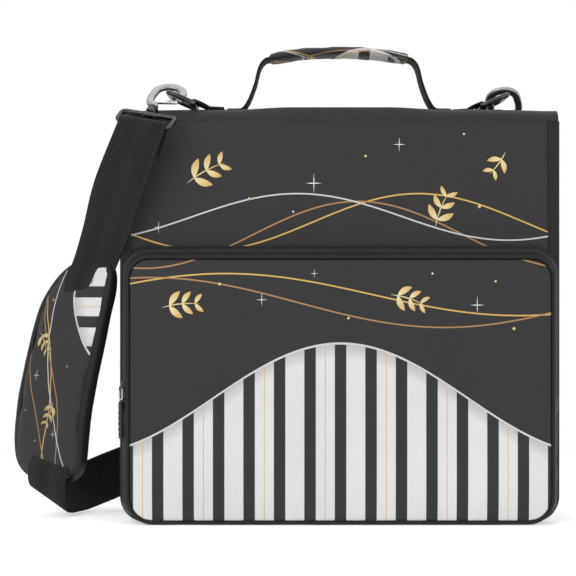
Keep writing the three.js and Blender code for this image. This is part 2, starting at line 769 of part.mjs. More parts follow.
// Stations of a strap's end: down the back, round the bar of a hook base and on to the front
function wrap(bar, across, next, outward) {
  const radius = baseWire / 2 + gap + strapThick / 2;
  const down = next.clone().sub(bar);
  down.addScaledVector(across, -down.dot(across)).normalize();
  const face = down.clone().cross(across).normalize();
  if (face.y * outward < 0) face.negate();
  const pair = (p) => [p.clone().addScaledVector(across, -strapWidth / 2),
    p.clone().addScaledVector(across, strapWidth / 2)];
  const back = bar.clone().addScaledVector(down, 22).addScaledVector(face, -radius);
  const arc = arcPoints(bar, face, down, radius, 180, 360, 8);
  return [back, ...arc].map(pair);
}

// Chosen points of the strap's two edges, left edge first, from the left hook to the right one
const strapEdges = [
  [[-189, -44, 262], [-152, -53, 251]],
  [[-199, -31, 228], [-164, -44, 217]],
  [[-208, -19, 203], [-174, -34, 195]],
  [[-219, -11, 172], [-187, -30, 164]],
  [[-228, -5, 130], [-196, -26, 124]],
  [[-237, -2, 88], [-205, -23, 83]],
  [[-242, -1, 58], [-211, -24, 51]],
  [[-246, -3, 38], [-214, -22, 27]],
  [[-245, 3, 24], [-214, -13, 6]],
  [[-231, 21, 28], [-204, 8, 3]],
  [[-200, 40, 42], [-188, 37, 6]],
  [[-168, 45, 54], [-160, 45, 17]],
  [[-92, 47, 80], [-76, 47, 46]],
  [[-13, 49, 118], [7, 49, 86]],
  [[50, 50, 168], [80, 50, 145]],
  [[84, 50, 222], [119, 50, 208]],
];

function curveThrough(points, count) {
  return new THREE.CatmullRomCurve3(points, false, 'centripetal').getPoints(count);
}

function strap() {
  const point = (p) => new THREE.Vector3(...p);
  const free = strapEdges.map(([l, r]) => [point(l), point(r)]);
  const centre = ([l, r]) => l.clone().add(r).multiplyScalar(0.5);
  const start = wrap(leftHook.bar, leftHook.frame.v, centre(free[0]), -1);
  const right = rightHook.frame.v.clone().negate();
  const finish = wrap(rightHook.bar, right, centre(free[free.length - 1]), 1)
    .reverse();
  const knots = [start[start.length - 1], ...free, finish[0]];
  const lefts = curveThrough(knots.map((k) => k[0]), 64);
  const rights = curveThrough(knots.map((k) => k[1]), 64);
  const run = lefts.map((l, i) => [l, rights[i]]);
  const stations = [...start.slice(0, -1), ...run, ...finish.slice(1)];
  piece('shoulder_strap', band(stations, strapThick), webbing, 0.85);
  return run;
}
const strapRun = strap();

// Shoulder pad: a curved cushion with rounded ends; the strap runs through it in a sleeve
const padLine = [[-191, -16, 205], [-207, -12, 166], [-216, -11, 129], [-223, -8, 97],
  [-227, -5, 70], [-228, -3, 46], [-227, 2, 26]];
const padFace = new THREE.Vector3(-0.616, -0.788, 0);

function pad() {
  const line = new THREE.CatmullRomCurve3(padLine.map((p) => new THREE.Vector3(...p)));
  const across = new THREE.Vector3().crossVectors(padFace, Z).normalize();
  if (across.x < 0) across.negate();
  const count = 26;
  const rim = (inset, thick, bulge) => {
    const rings = [];
    for (let i = 0; i <= count; i += 1) {
      const t = i / count;
      const s = Math.abs(2 * t - 1);
      const taper = Math.sqrt(Math.max(1 - s ** 7, 0.02));
      const half = (padWidth / 2 - 2 * s * s) * taper - inset;
      const c = line.getPoint(inset / padLength + t * (1 - 2 * inset / padLength));
      const h = thick / 2;
      const edge = h * bulge;
      const section = [[-half, -edge], [-half * 0.6, -h], [half * 0.6, -h], [half, -edge],
        [half, edge], [half * 0.6, h], [-half * 0.6, h], [-half, edge]];
      rings.push(section.map(([a, b]) => c.clone().addScaledVector(across, a)
        .addScaledVector(padFace, b)));
    }
    return skin(rings, false);
  };
  const sleeve = band(strapRun.map(([l, r]) => {
    const out = r.clone().sub(l).normalize();
    return [l.clone().addScaledVector(out, -gap), r.clone().addScaledVector(out, gap)];
  }).filter(([l]) => l.z > 20 && l.z < 225 && l.y < 8), strapThick + 2 * gap);
  piece('shoulder_pad', cut(rim(0, padThick, 0.55), sleeve), print, 0.75);
}
pad();

// Strap adjuster: outer bars behind the strap, the middle bar in front, joined at both ends
function glide() {
  const k = strapRun.findIndex(([l]) => l.y > 40 && l.z > 150);
  const [l, r] = strapRun[k];
  const centre = l.clone().add(r).multiplyScalar(0.5);
  const across = r.clone().sub(l).normalize();
  const ahead = strapRun[k + 1][0].clone().add(strapRun[k + 1][1]).multiplyScalar(0.5)
    .sub(centre);
  const face = ahead.clone().cross(across).normalize();
  const along = face.clone().cross(across).normalize();
  const place = new THREE.Matrix4().makeBasis(across, along, face).setPosition(centre);
  const half = strapWidth / 2 + 1.5;
  const off = strapThick / 2 + 0.8;
  const bar = (u, side) => boxOf(-half - 2, u - glideBar / 2, side > 0 ? off : -off - glideBar,
    half + 2, u + glideBar / 2, side > 0 ? off + glideBar : -off);
  const end = (side) => boxOf(side > 0 ? half : -half - glideBar, -10, -off - glideBar,
    side > 0 ? half + glideBar : -half, 10, off + glideBar);
  const g = joined(bar(-8.5, -1), bar(0, 1), bar(8.5, -1), end(-1), end(1));
  piece('strap_adjuster', g.applyMatrix4(place), gunmetal, 0.35, 0.9);
}
glide();

export default binder;
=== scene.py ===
import math
import bpy
import numpy as np
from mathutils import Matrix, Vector


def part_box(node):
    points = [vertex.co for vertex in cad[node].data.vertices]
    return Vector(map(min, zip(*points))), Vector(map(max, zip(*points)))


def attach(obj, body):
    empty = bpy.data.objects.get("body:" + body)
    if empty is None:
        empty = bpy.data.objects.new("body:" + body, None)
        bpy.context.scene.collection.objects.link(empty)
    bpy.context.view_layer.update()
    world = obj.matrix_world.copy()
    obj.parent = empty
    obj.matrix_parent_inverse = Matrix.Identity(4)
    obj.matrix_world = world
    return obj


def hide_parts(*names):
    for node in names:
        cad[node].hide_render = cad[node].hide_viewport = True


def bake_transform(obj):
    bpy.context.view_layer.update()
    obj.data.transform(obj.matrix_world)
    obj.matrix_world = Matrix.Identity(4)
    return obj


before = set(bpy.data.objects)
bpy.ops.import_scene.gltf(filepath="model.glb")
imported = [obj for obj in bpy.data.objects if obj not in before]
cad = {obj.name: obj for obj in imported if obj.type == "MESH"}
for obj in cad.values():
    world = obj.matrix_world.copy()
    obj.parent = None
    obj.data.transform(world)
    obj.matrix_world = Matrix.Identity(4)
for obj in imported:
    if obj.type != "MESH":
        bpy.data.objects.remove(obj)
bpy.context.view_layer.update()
mm = 0.001
print("frame loaded,", len(cad), "nodes")

# The binder's own sizes in mm, the same as in its CAD source
binder = {"half": 170.0, "coverTop": 309.7, "face": 35.0, "corner": 20.0, "spineHalf": 24.7, "insideTop": 315.6,
          "zipY": -6.0}


def unit(v):
    # A vector over its own length, or rows of them
    v = np.asarray(v, float)
    return v / np.maximum(np.linalg.norm(v, axis=-1, keepdims=True), 1e-12)


def bump01(t, low, high, soft):
    # Rises smoothly from 0 to 1 at low and falls back at high, each over soft
    a = np.clip((t - low) / soft, 0, 1)
    b = np.clip((high - t) / soft, 0, 1)
    return a * a * (3 - 2 * a) * b * b * (3 - 2 * b)


def blunt(t, power, least):
    # 1 along the middle of t from -1 to 1, falling steeply to the root of least at both ends
    return np.sqrt(np.clip(1 - t ** power, least, 1))


def ripple(u, v, seed, waves=7, long=1.0):
    # Sum of sines in turned directions, each shorter and lower than the one before; about -1 to 1
    rng = np.random.default_rng(seed)
    total = np.zeros(np.broadcast(u, v).shape)
    for k in range(waves):
        turn, phase = rng.uniform(0, 2 * math.pi, 2)
        pitch = long / 1.45 ** k
        total += np.sin((u * math.cos(turn) + v * math.sin(turn)) / pitch + phase) / 1.3 ** k
    return total / 2.6


def build(name, points, faceSets, uv=None, smooth=True):
    # Points in mm and sets of faces, each an array of rows of point numbers; uv has a row for each corner
    points = np.asarray(points, float).reshape(-1, 3)
    loops = np.concatenate([f.ravel() for f in faceSets]).astype(np.int32)
    sizes = np.concatenate([np.full(len(f), f.shape[1]) for f in faceSets])
    starts = np.concatenate([[0], np.cumsum(sizes)[:-1]]).astype(np.int32)
    corners = points[loops]
    volume = 0.0
    for f in faceSets:  # signed volume of the fans, to turn the faces outwards
        a = points[f[:, 0]]
        for k in range(1, f.shape[1] - 1):
            volume += float((a * np.cross(points[f[:, k]], points[f[:, k + 1]])).sum())
    mesh = bpy.data.meshes.new(name)
    mesh.vertices.add(len(points))
    mesh.vertices.foreach_set("co", (points * mm).astype(np.float32).ravel())
    mesh.loops.add(len(corners))
    mesh.loops.foreach_set("vertex_index", loops)
    mesh.polygons.add(len(sizes))
    mesh.polygons.foreach_set("loop_start", starts)
    if uv is not None:
        layer = mesh.uv_layers.new(name="cloth")
        layer.data.foreach_set("uv", (np.asarray(uv) * mm).astype(np.float32).ravel())
    mesh.update(calc_edges=True)
    if volume < 0:
        mesh.flip_normals()
    if smooth:
        mesh.polygons.foreach_set("use_smooth", np.ones(len(sizes), bool))
    obj = bpy.data.objects.new(name, mesh)
    bpy.context.scene.collection.objects.link(obj)
    return obj


def lengths(points, axis):
    # Distance run along an axis of a grid, in mm, taken on its middle line
    line = np.moveaxis(points, axis, 0)
    line = line[:, line.shape[1] // 2]
    step = np.linalg.norm(np.diff(line, axis=0), axis=1)
    return np.concatenate([[0], np.cumsum(step)])


def quadsOf(nu, nv, closeU, closeV):
    # Row, column and four point numbers of each quad between nu rows of nv points
    i, j = np.meshgrid(np.arange(nu if closeU else nu - 1), np.arange(nv if closeV else nv - 1), indexing="ij")
    i2, j2 = (i + 1) % nu, (j + 1) % nv
    return i, j, np.stack([i * nv + j, i2 * nv + j, i2 * nv + j2, i * nv + j2], -1).reshape(-1, 4)


def cornersUv(u, v, i, j):
    # Texture places of the four corners of each quad
    four = [np.stack([u[a], v[b]], -1) for a, b in ((i, j), (i + 1, j), (i + 1, j + 1), (i, j + 1))]
    return np.stack(four, 2).reshape(-1, 2)


def grid(name, points, closeU=False, closeV=False, smooth=True):
    # Surface of quads over points[u, v]; a direction may close on itself, and a tube open in u gets two end faces
    nu, nv = points.shape[:2]
    i, j, quads = quadsOf(nu, nv, closeU, closeV)
    u = lengths(points, 0)
    v = lengths(points, 1)
    u = np.append(u, u[-1] + (u[-1] / max(len(u) - 1, 1)))
    v = np.append(v, v[-1] + (v[-1] / max(len(v) - 1, 1)))
    uv = cornersUv(u, v, i, j)
    sets = [quads]
    if closeV and not closeU:
        ring = np.arange(nv)
        sets += [ring[None, :], (ring + (nu - 1) * nv)[None, ::-1]]
        uv = np.concatenate([uv, np.zeros((2 * nv, 2))])
    return build(name, points, sets, uv, smooth)


def sheetFaces(nu, nv):
    # Faces of a closed sheet whose rows run over the face's nv points and back over the other side's
    wide = 2 * nv
    i, j, quads = quadsOf(nu, wide, False, True)
    k = np.arange(nv - 1)
    caps = np.stack([k, k + 1, wide - 2 - k, wide - 1 - k], -1)
    return i, j, quads, np.concatenate([caps, (caps + (nu - 1) * wide)[:, ::-1]])


def level(sheet, axis, value):
    # A copy of a sheet with one coordinate set
    flat = sheet.copy()
    flat[..., axis] = value
    return flat


def shell(name, face, back):
    # Closed sheet between two grids of points with the same rows and columns
    i, j, quads, ends = sheetFaces(*face.shape[:2])
    v = np.concatenate([lengths(face, 1), lengths(face, 1)[::-1], [0]])
    uv = np.concatenate([cornersUv(lengths(face, 0), v, i, j), np.zeros((ends.size, 2))])
    return build(name, np.concatenate([face, back[:, ::-1]], axis=1), [quads, ends], uv)


def spline(knots, count):
    # Catmull-Rom curve through the knots with steps of the square root of their distance, count points
    p = np.asarray(knots, float)
    p = np.concatenate([[2 * p[0] - p[1]], p, [2 * p[-1] - p[-2]]])
    n = len(p) - 3
    s = np.linspace(0, n, count)
    k = np.minimum(s.astype(int), n - 1)
    f = (s - k)[:, None]
    p0, p1, p2, p3 = p[k], p[k + 1], p[k + 2], p[k + 3]
    gap = [np.maximum(np.linalg.norm(b - a, axis=1, keepdims=True), 1e-6) ** 0.5
           for a, b in ((p0, p1), (p1, p2), (p2, p3))]
    m1 = ((p1 - p0) / gap[0] - (p2 - p0) / (gap[0] + gap[1]) + (p2 - p1) / gap[1]) * gap[1]
    m2 = ((p2 - p1) / gap[1] - (p3 - p1) / (gap[1] + gap[2]) + (p3 - p2) / gap[2]) * gap[1]
    return p1 + m1 * f + (3 * (p2 - p1) - 2 * m1 - m2) * f ** 2 + (2 * (p1 - p2) + m1 + m2) * f ** 3


def arc(centre, a, b, radius, start, stop, count):
    # Points of a circle about centre: radius times (a cos + b sin), with the angle in degrees
    t = np.radians(np.linspace(start, stop, count))[:, None]
    centre, a, b = (np.asarray(q, float) for q in (centre, a, b))
    return centre + radius * (a * np.cos(t) + b * np.sin(t))


def along(path, closed=False):
    # Direction of travel at each point of a path
    if closed:
        return unit(np.roll(path, -1, 0) - np.roll(path, 1, 0))
    return unit(np.gradient(path, axis=0))


def evenly(path, spacing, *fields, closed=False):
    # Points at equal distances on a path, with other rows of values carried along
    line = np.concatenate([path, path[:1]]) if closed else path
    run = np.concatenate([[0], np.cumsum(np.linalg.norm(np.diff(line, axis=0), axis=1))])
    count = max(2, int(round(run[-1] / spacing)) + (0 if closed else 1))
    s = np.linspace(0, run[-1], count, endpoint=not closed)
    out = []
    for f in (path,) + fields:
        f = np.concatenate([f, f[:1]]) if closed else f
        out.append(np.stack([np.interp(s, run, f[:, c]) for c in range(f.shape[1])], 1))
    return out


def carry(path, section, side, closed=False, name=None, smooth=True):
    # A profile [across the way, along side] carried on a path; the profile may differ from point to point
    t = along(path, closed)
    side = np.broadcast_to(np.asarray(side, float), path.shape)
    side = unit(side - t * (side * t).sum(1, keepdims=True))
    out = np.cross(side, t)
    section = np.asarray(section, float)
    if section.ndim == 2:
        section = np.broadcast_to(section, (len(path),) + section.shape)
    points = path[:, None] + out[:, None] * section[..., :1] + side[:, None] * section[..., 1:2]
    return points if name is None else grid(name, points, closeU=closed, closeV=True, smooth=smooth)


def disc(radius, count=12, other=None):
    # Profile of a round or oval wire
    t = np.linspace(0, 2 * math.pi, count, endpoint=False)
    return np.stack([radius * np.cos(t), (other or radius) * np.sin(t)], 1)


def softBox(wide, high, radius, count=3):
    # Profile of a rectangle with rounded corners, wide along the first axis and high along the second
    a = np.linspace(0, math.pi / 2, count)
    x = wide / 2 - radius
    y = high / 2 - radius
    corners = []
    for quarter, (cx, cy) in enumerate(((x, y), (-x, y), (-x, -y), (x, -y))):
        t = a + quarter * math.pi / 2
        corners.append(np.stack([cx + radius * np.cos(t), cy + radius * np.sin(t)], 1))
    return np.concatenate(corners)


def barOf(wide, high, radius, count):
    # Rounded profiles of a bar, one for each pair of widths; radius is for a width of 1
    return softBox(1.0, 1.0, radius, count)[None] * np.stack([wide, high], 1)[:, None]


def webbingProfile(wide, thick, ribs, ribHigh, count):
    # Flat webbing with raised ribs on both faces
    v = np.linspace(-1, 1, count)
    face = np.stack([thick / 2 - ribHigh + ribHigh * np.cos(v * math.pi * ribs), v * wide / 2], 1)
    return np.concatenate([face, (face * [-1, 1])[::-1]])


def repeat(name, shape, faces, places, ways, acrosses, outs):
    # One small form set down at many places, turned by three directions, all in one mesh
    pts = (places[:, None] + ways[:, None] * shape[None, :, :1] + acrosses[:, None] * shape[None, :, 1:2]
           + outs[:, None] * shape[None, :, 2:3])
    shift = (np.arange(len(places)) * len(shape))[:, None, None]
    return build(name, pts, [(f[None] + shift).reshape(-1, f.shape[1]) for f in faces])


def rowOf(name, form, pitch, lines, shift=0.0):
    # Small forms one behind the other at equal distances, along lines that come with their way out of the cloth
    sets = []
    for line, out in lines:
        place, out = evenly(line, pitch, out)
        out = unit(out)
        go = along(place)
        sets.append((place + go * shift, go, np.cross(out, go), out))
    return repeat(name, *form, *[np.concatenate([one[k] for one in sets]) for k in range(4)])


def boxStitches(name, strokes):
    # Stitches on level webbing: each stroke is its two ends and its number of stitches
    places, ways = [], []
    for a, b, n in strokes:
        a, b = np.asarray(a, float), np.asarray(b, float)
        places.append(a + (np.arange(n) + 0.5)[:, None] / n * (b - a))
        ways.append(np.tile(unit(b - a), (n, 1)))
    place, go = np.concatenate(places), np.concatenate(ways)
    out = np.tile([0.0, 0.0, 1.0], (len(place), 1))
    rest(repeat(name, *bead(2.2, 0.5, 0.4), place, go, np.cross(out, go), out), "spine", "webbing", thread)


def bead(length, wide, high, rings=(0.0, 0.25, 0.75, 1.0), sides=6):
    # A rounded grain along the first axis: rings of points, small at both ends
    t = np.asarray(rings)
    r = blunt(2 * t - 1, 2, 0.12)
    a = np.linspace(0, 2 * math.pi, sides, endpoint=False)
    pts = np.stack([np.broadcast_to(((t - 0.5) * length)[:, None], (len(t), sides)),
                    r[:, None] * np.cos(a) * wide / 2, r[:, None] * np.sin(a) * high / 2], -1).reshape(-1, 3)
    quads = quadsOf(len(t), sides, False, True)[2][:, ::-1]
    ends = np.stack([np.arange(sides)[::-1], np.arange(sides) + (len(t) - 1) * sides])
    return pts, [quads, ends]


def block(long, wide, high, narrow=0.7):
    # A small block with a narrower top: eight corners
    x, y, z = long / 2, wide / 2, high / 2
    low = [(-x, -y, -z), (x, -y, -z), (x, y, -z), (-x, y, -z)]
    top = [(-x * narrow, -y * narrow, z), (x * narrow, -y * narrow, z), (x * narrow, y * narrow, z),
           (-x * narrow, y * narrow, z)]
    faces = np.array([(0, 3, 2, 1), (4, 5, 6, 7), (0, 1, 5, 4), (1, 2, 6, 5), (2, 3, 7, 6), (3, 0, 4, 7)])
    return np.array(low + top), [faces]


def rim(half, bottom, top, low, high=0.0, over=False, counts=(60, 10, 70)):
    # Points (x, z) round a cover's edge from the upper left down, and the way out of the edge at each
    sideCount, cornerCount, lowCount = counts

    def line(a, b, way, n):
        t = np.linspace(0, 1, n, endpoint=False)[:, None]
        a, b, way = (np.asarray(q, float) for q in (a, b, way))
        return a + t * (b - a), np.tile(way, (n, 1))

    def corner(x, z, r, start):
        a = np.radians(np.linspace(start, start + 90, cornerCount, endpoint=False))
        way = np.stack([np.cos(a), np.sin(a)], 1)
        return np.array([x, z]) + r * way, way

    parts = [line((-half, top - high), (-half, bottom + low), (-1, 0), sideCount),
             corner(-half + low, bottom + low, low, 180),
             line((-half + low, bottom), (half - low, bottom), (0, -1), lowCount),
             corner(half - low, bottom + low, low, 270),
             line((half, bottom + low), (half, top - high), (1, 0), sideCount)]
    if over:
        parts += [corner(half - high, top - high, high, 0),
                  line((half - high, top), (high - half, top), (0, 1), lowCount),
                  corner(high - half, top - high, high, 90)]
    else:
        parts.append((np.array([[half, top]]), np.array([[1.0, 0.0]])))
    return np.concatenate([p[0] for p in parts]), np.concatenate([p[1] for p in parts])


def around(at, way, section):
    # A profile [out of the edge, y] set on every point of a cover's edge
    section = np.asarray(section, float)
    if section.ndim == 2:
        section = np.broadcast_to(section, (len(at),) + section.shape)
    x = at[:, None, 0] + way[:, None, 0] * section[..., 0]
    z = at[:, None, 1] + way[:, None, 1] * section[..., 0]
    return np.stack([x, section[..., 1], z], -1)


def halfAt(z, half, bottom, top, low, high=0.0):
    # Half the width of a plate with rounded corners at height z
    under = np.clip(bottom + low - z, 0, low)
    above = np.clip(z - (top - high), 0, high)
    return half - low + np.sqrt(low ** 2 - under ** 2) - high + np.sqrt(np.maximum(high ** 2 - above ** 2, 0))


def plate(half, bottom, top, low, high, depth, rows=110, columns=120):
    # X and z of a grid that fills a plate with rounded corners, and depth(x, z) as its y
    t = np.linspace(0, 1, rows)
    t = 0.6 * t + 0.4 * (1 - np.cos(math.pi * t)) / 2
    z = bottom + (top - bottom) * t
    s = np.sin(np.linspace(-math.pi / 2, math.pi / 2, columns)) * 0.35 + np.linspace(-1, 1, columns) * 0.65
    x = halfAt(z, half, bottom, top, low, high)[:, None] * s[None]
    z = np.broadcast_to(z[:, None], x.shape)
    return np.stack([x, depth(x, z), z], -1)


def rest(obj, body, slot, material, *stands):
    # Gives a finished piece its material and the body that it rides on, and hides the nodes it stands for; a body
    # given as a tuple is not attached, only baked in place. The slot, its finish, is not used
    obj.data.materials.clear()
    for m in (material if isinstance(material, (list, tuple)) else [material]):
        obj.data.materials.append(m)
    if isinstance(body, str):
        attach(obj, body)
    else:
        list(body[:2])
        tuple(body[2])
        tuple(body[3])
        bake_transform(obj)
    if stands:
        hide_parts(*stands)
    return obj


def keep(node, material):
    # A CAD mesh that stays as it is, in its real material
    cad[node].data.materials.clear()
    cad[node].data.materials.append(material)


def readRows(items, key):
    # Three numbers of each vertex or face of a mesh, as rows
    rows = np.zeros(len(items) * 3)
    items.foreach_get(key, rows)
    return rows.reshape(-1, 3)


def applied(obj, modifier):
    # Makes a modifier's form the mesh itself
    bpy.context.view_layer.objects.active = obj
    obj.select_set(True)
    bpy.ops.object.modifier_apply(modifier=modifier.name)
    obj.select_set(False)


def lower(obj, levels=1):
    # Adds a subdivision surface of the same level in view and render
    m = obj.modifiers.new("smoother", "SUBSURF")
    m.levels = m.render_levels = levels


def linear(hexColour):
    # Hex text in sRGB to linear red, green, blue and 1
    c = np.array([int(hexColour[k:k + 2], 16) for k in (1, 3, 5)]) / 255
    c = np.where(c <= 0.04045, c / 12.92, ((c + 0.055) / 1.055) ** 2.4)
    return (float(c[0]), float(c[1]), float(c[2]), 1.0)


def add(tree, kind, inputs=None, **settings):
    # One node with its settings, its values and its links
    made = tree.nodes.new(kind)
    for key, value in settings.items():
        setattr(made, key, value)
    for key, value in (inputs or {}).items():
        if isinstance(value, bpy.types.NodeSocket):
            tree.links.new(value, made.inputs[key])
        else:
            made.inputs[key].default_value = value
    return made


def newMaterial(name):
    # An empty node material and its tree
    made = bpy.data.materials.new(name)
    made.use_nodes = True
    made.node_tree.nodes.clear()
    return made, made.node_tree


def shaded(made, shader):
    # The material with this shader on its output
    add(made.node_tree, "ShaderNodeOutputMaterial", {0: shader.outputs[0]})
    return made


def mathOf(tree, operation, a, b=0.0, c=0.0):
    # Result of one sum
    return add(tree, "ShaderNodeMath", {0: a, 1: b, 2: c}, operation=operation).outputs[0]


def surfaceCoords(tree, how):
    # Two lengths in metres over the cloth: along its own UV map, or flat to the viewer, or turned with the pad
    if how == "uv":
        source = add(tree, "ShaderNodeUVMap", uv_map="cloth").outputs[0]
        xyz = add(tree, "ShaderNodeSeparateXYZ", {0: source})
        return xyz.outputs[0], xyz.outputs[1]
    source = add(tree, "ShaderNodeTexCoord").outputs["Object"]
    if how == "pad":
        source = add(tree, "ShaderNodeMapping",
                     {"Vector": source, "Rotation": (0, 0, math.atan2(0.616, 0.788))}).outputs[0]
        xyz = add(tree, "ShaderNodeSeparateXYZ", {0: source})
        return xyz.outputs[2], mathOf(tree, "MULTIPLY", xyz.outputs[0], -1.0)
    xyz = add(tree, "ShaderNodeSeparateXYZ", {0: source})
    return xyz.outputs[0], xyz.outputs[2]


def noiseOf(tree, scale, detail, **more):
    # Noise that lies still on the object
    coords = add(tree, "ShaderNodeTexCoord").outputs["Object"]
    values = {"Vector": coords, "Scale": scale, "Detail": detail, **more}
    return add(tree, "ShaderNodeTexNoise", values).outputs["Fac"]


def bumpOf(tree, strength, distance, height, **more):
    # Turned normals from a height
    values = {"Strength": strength, "Distance": distance, "Height": height, **more}
    return add(tree, "ShaderNodeBump", values).outputs[0]


def weave(tree, u, v, pitch):
    # Height of a plain weave: threads that go over and under by turns, from sines of both lengths
    su = mathOf(tree, "SINE", mathOf(tree, "MULTIPLY", u, math.pi / pitch))
    sv = mathOf(tree, "SINE", mathOf(tree, "MULTIPLY", v, math.pi / pitch))
    crossed = mathOf(tree, "MULTIPLY", su, sv)
    ribs = mathOf(tree, "ADD", mathOf(tree, "ABSOLUTE", su), mathOf(tree, "ABSOLUTE", sv))
    return mathOf(tree, "MULTIPLY_ADD", crossed, 0.6, mathOf(tree, "MULTIPLY", ribs, 0.35))


clothLook = {"pitch": 0.0011, "bump": 0.14, "rough": 0.62, "sheen": 0.03, "shine": 0.22}


def clothShader(tree, colour, height, rough=clothLook["rough"], bump=clothLook["bump"], sheen=clothLook["sheen"]):
    # Dull satin cloth with small creases under its weave, flecked at random, with painted shade in the hollows
    crease = noiseOf(tree, 14.0, 4.0, Roughness=0.55)
    fine = noiseOf(tree, 900.0, 2.0)
    normal = bumpOf(tree, bump, 0.0004, height, Normal=bumpOf(tree, 0.45, 0.004, crease))
    # Painted shade: darker where the crease noise and the weave height, which drive the bump, are low
    flecksAndShade = mathOf(tree, "MULTIPLY_ADD", crease, 0.22, 0.89)
    flecksAndShade = mathOf(tree, "MULTIPLY", flecksAndShade, mathOf(tree, "MULTIPLY_ADD", fine, 0.24, 0.88))
    flecksAndShade = mathOf(tree, "MULTIPLY", flecksAndShade, mathOf(tree, "MULTIPLY_ADD", height, 0.10, 0.97))
    grey = add(tree, "ShaderNodeCombineColor", {0: flecksAndShade, 1: flecksAndShade, 2: flecksAndShade}).outputs[0]
    toned = add(tree, "ShaderNodeMix", {"Factor": 1.0, 6: colour, 7: grey}, data_type="RGBA", blend_type="MULTIPLY")
    return add(tree, "ShaderNodeBsdfPrincipled", {
        "Base Color": toned.outputs[2], "Roughness": rough, "Specular IOR Level": clothLook["shine"],
        "Sheen Weight": sheen, "Sheen Roughness": 0.5, "Normal": normal})


def charcoalPolyester(name, hexColour, how="uv", rough=0.62, sheen=0.03, pitch=None):
    # Plain-woven 600-denier polyester, calendered: a dull satin with fine threads. The real threads lie
    # about 0.5 mm apart, too fine to show, so they are drawn 1.1 mm apart
    made, tree = newMaterial(name)
    u, v = surfaceCoords(tree, how)
    height = weave(tree, u, v, pitch or clothLook["pitch"])
    shader = clothShader(tree, linear(hexColour), height, rough, sheen=sheen)
    return shaded(made, shader)


# The printed design: a pale striped hill under a charcoal sky, with thin foil lines over both
printLook = {
    "dark": "#313131", "pale": "#e6e6e7", "shade": "#b4b4b6", "rim": "#d8d8dc",
    "gold": "#dfb76a", "copper": "#b08860", "silver": "#d6d6da",
    "period": 0.0232, "bandWidth": 0.0088, "pin": 0.0006,
}


def stripeMask(tree, value, centre, halfWidth, soft):
    # 1 within halfWidth of centre, 0 outside, with an edge of soft
    far = mathOf(tree, "ABSOLUTE", mathOf(tree, "SUBTRACT", value, centre))
    return add(tree, "ShaderNodeMapRange",
               {"Value": far, "From Min": halfWidth - soft, "From Max": halfWidth + soft,
                                            "To Min": 1.0, "To Max": 0.0}).outputs[0]


def blendColour(tree, mask, under, over):
    # Over laid on under where the mask is 1
    return add(tree, "ShaderNodeMix", {"Factor": mask, 6: under, 7: over}, data_type="RGBA").outputs[2]


def printedPolyester(name, how, hill, lines, shift=(0.0, 0.0), size=1.0, lineHalf=0.00055):
    # The same woven polyester with a sublimated print: inks lie in the threads, so the weave shows through
    # hill is (height, rise, length) of the striped field's upper edge;
    # lines are (colour, height, rise, length, phase)
    made, tree = newMaterial(name)
    u, v = surfaceCoords(tree, how)
    height = weave(tree, u, v, clothLook["pitch"])
    x = mathOf(tree, "MULTIPLY", mathOf(tree, "SUBTRACT", u, shift[0]), 1 / size)
    z = mathOf(tree, "MULTIPLY", mathOf(tree, "SUBTRACT", v, shift[1]), 1 / size)
    colour = linear(printLook["dark"])
    base, rise, long = hill
    edge = mathOf(tree, "MULTIPLY_ADD", mathOf(tree, "COSINE", mathOf(tree, "DIVIDE", x, long)), rise, base)
    inside = add(tree, "ShaderNodeMapRange", {"Value": mathOf(tree, "SUBTRACT", edge, z), "From Min": -0.0002,
                                              "From Max": 0.0002}).outputs[0]
    wrapped = mathOf(tree, "WRAP", x, printLook["period"] / 2, -printLook["period"] / 2)
    band = stripeMask(tree, wrapped, 0.0, printLook["bandWidth"] / 2, 0.0002)
    offset = mathOf(tree, "WRAP", mathOf(tree, "ADD", x, printLook["period"] / 2), printLook["period"],
                    -printLook["period"])
    pin = stripeMask(tree, offset, 0.0, printLook["pin"] / 2, 0.0001)
    below = mathOf(tree, "SUBTRACT", edge, z)
    under = add(tree, "ShaderNodeMapRange", {"Value": below, "From Min": 0.0, "From Max": 0.012,
                                             "To Min": 0.75, "To Max": 0.0}).outputs[0]
    field = blendColour(tree, under, linear(printLook["pale"]), linear(printLook["shade"]))
    field = blendColour(tree, pin, field, linear(printLook["gold"]))
    field = blendColour(tree, band, field, linear(printLook["dark"]))
    colour = blendColour(tree, inside, colour, field)
    rimLine = stripeMask(tree, mathOf(tree, "SUBTRACT", edge, z), -0.0008, 0.0008, 0.0002)
    colour = blendColour(tree, rimLine, colour, linear(printLook["rim"]))
    for hexColour, base, rise, long, phase in lines:
        turn = mathOf(tree, "ADD", mathOf(tree, "DIVIDE", x, long), phase)
        line = mathOf(tree, "MULTIPLY_ADD", mathOf(tree, "SINE", turn), rise, base)
        slant = mathOf(tree, "MULTIPLY", mathOf(tree, "COSINE", turn), rise / long)
        stretch = mathOf(tree, "SQRT", mathOf(tree, "MULTIPLY_ADD", slant, slant, 1.0))
        far = mathOf(tree, "DIVIDE", mathOf(tree, "SUBTRACT", z, line), stretch)
        mask = stripeMask(tree, far, 0.0, lineHalf, 0.00018)
        colour = blendColour(tree, mask, colour, linear(hexColour))
    shader = clothShader(tree, colour, height)
    return shaded(made, shader)


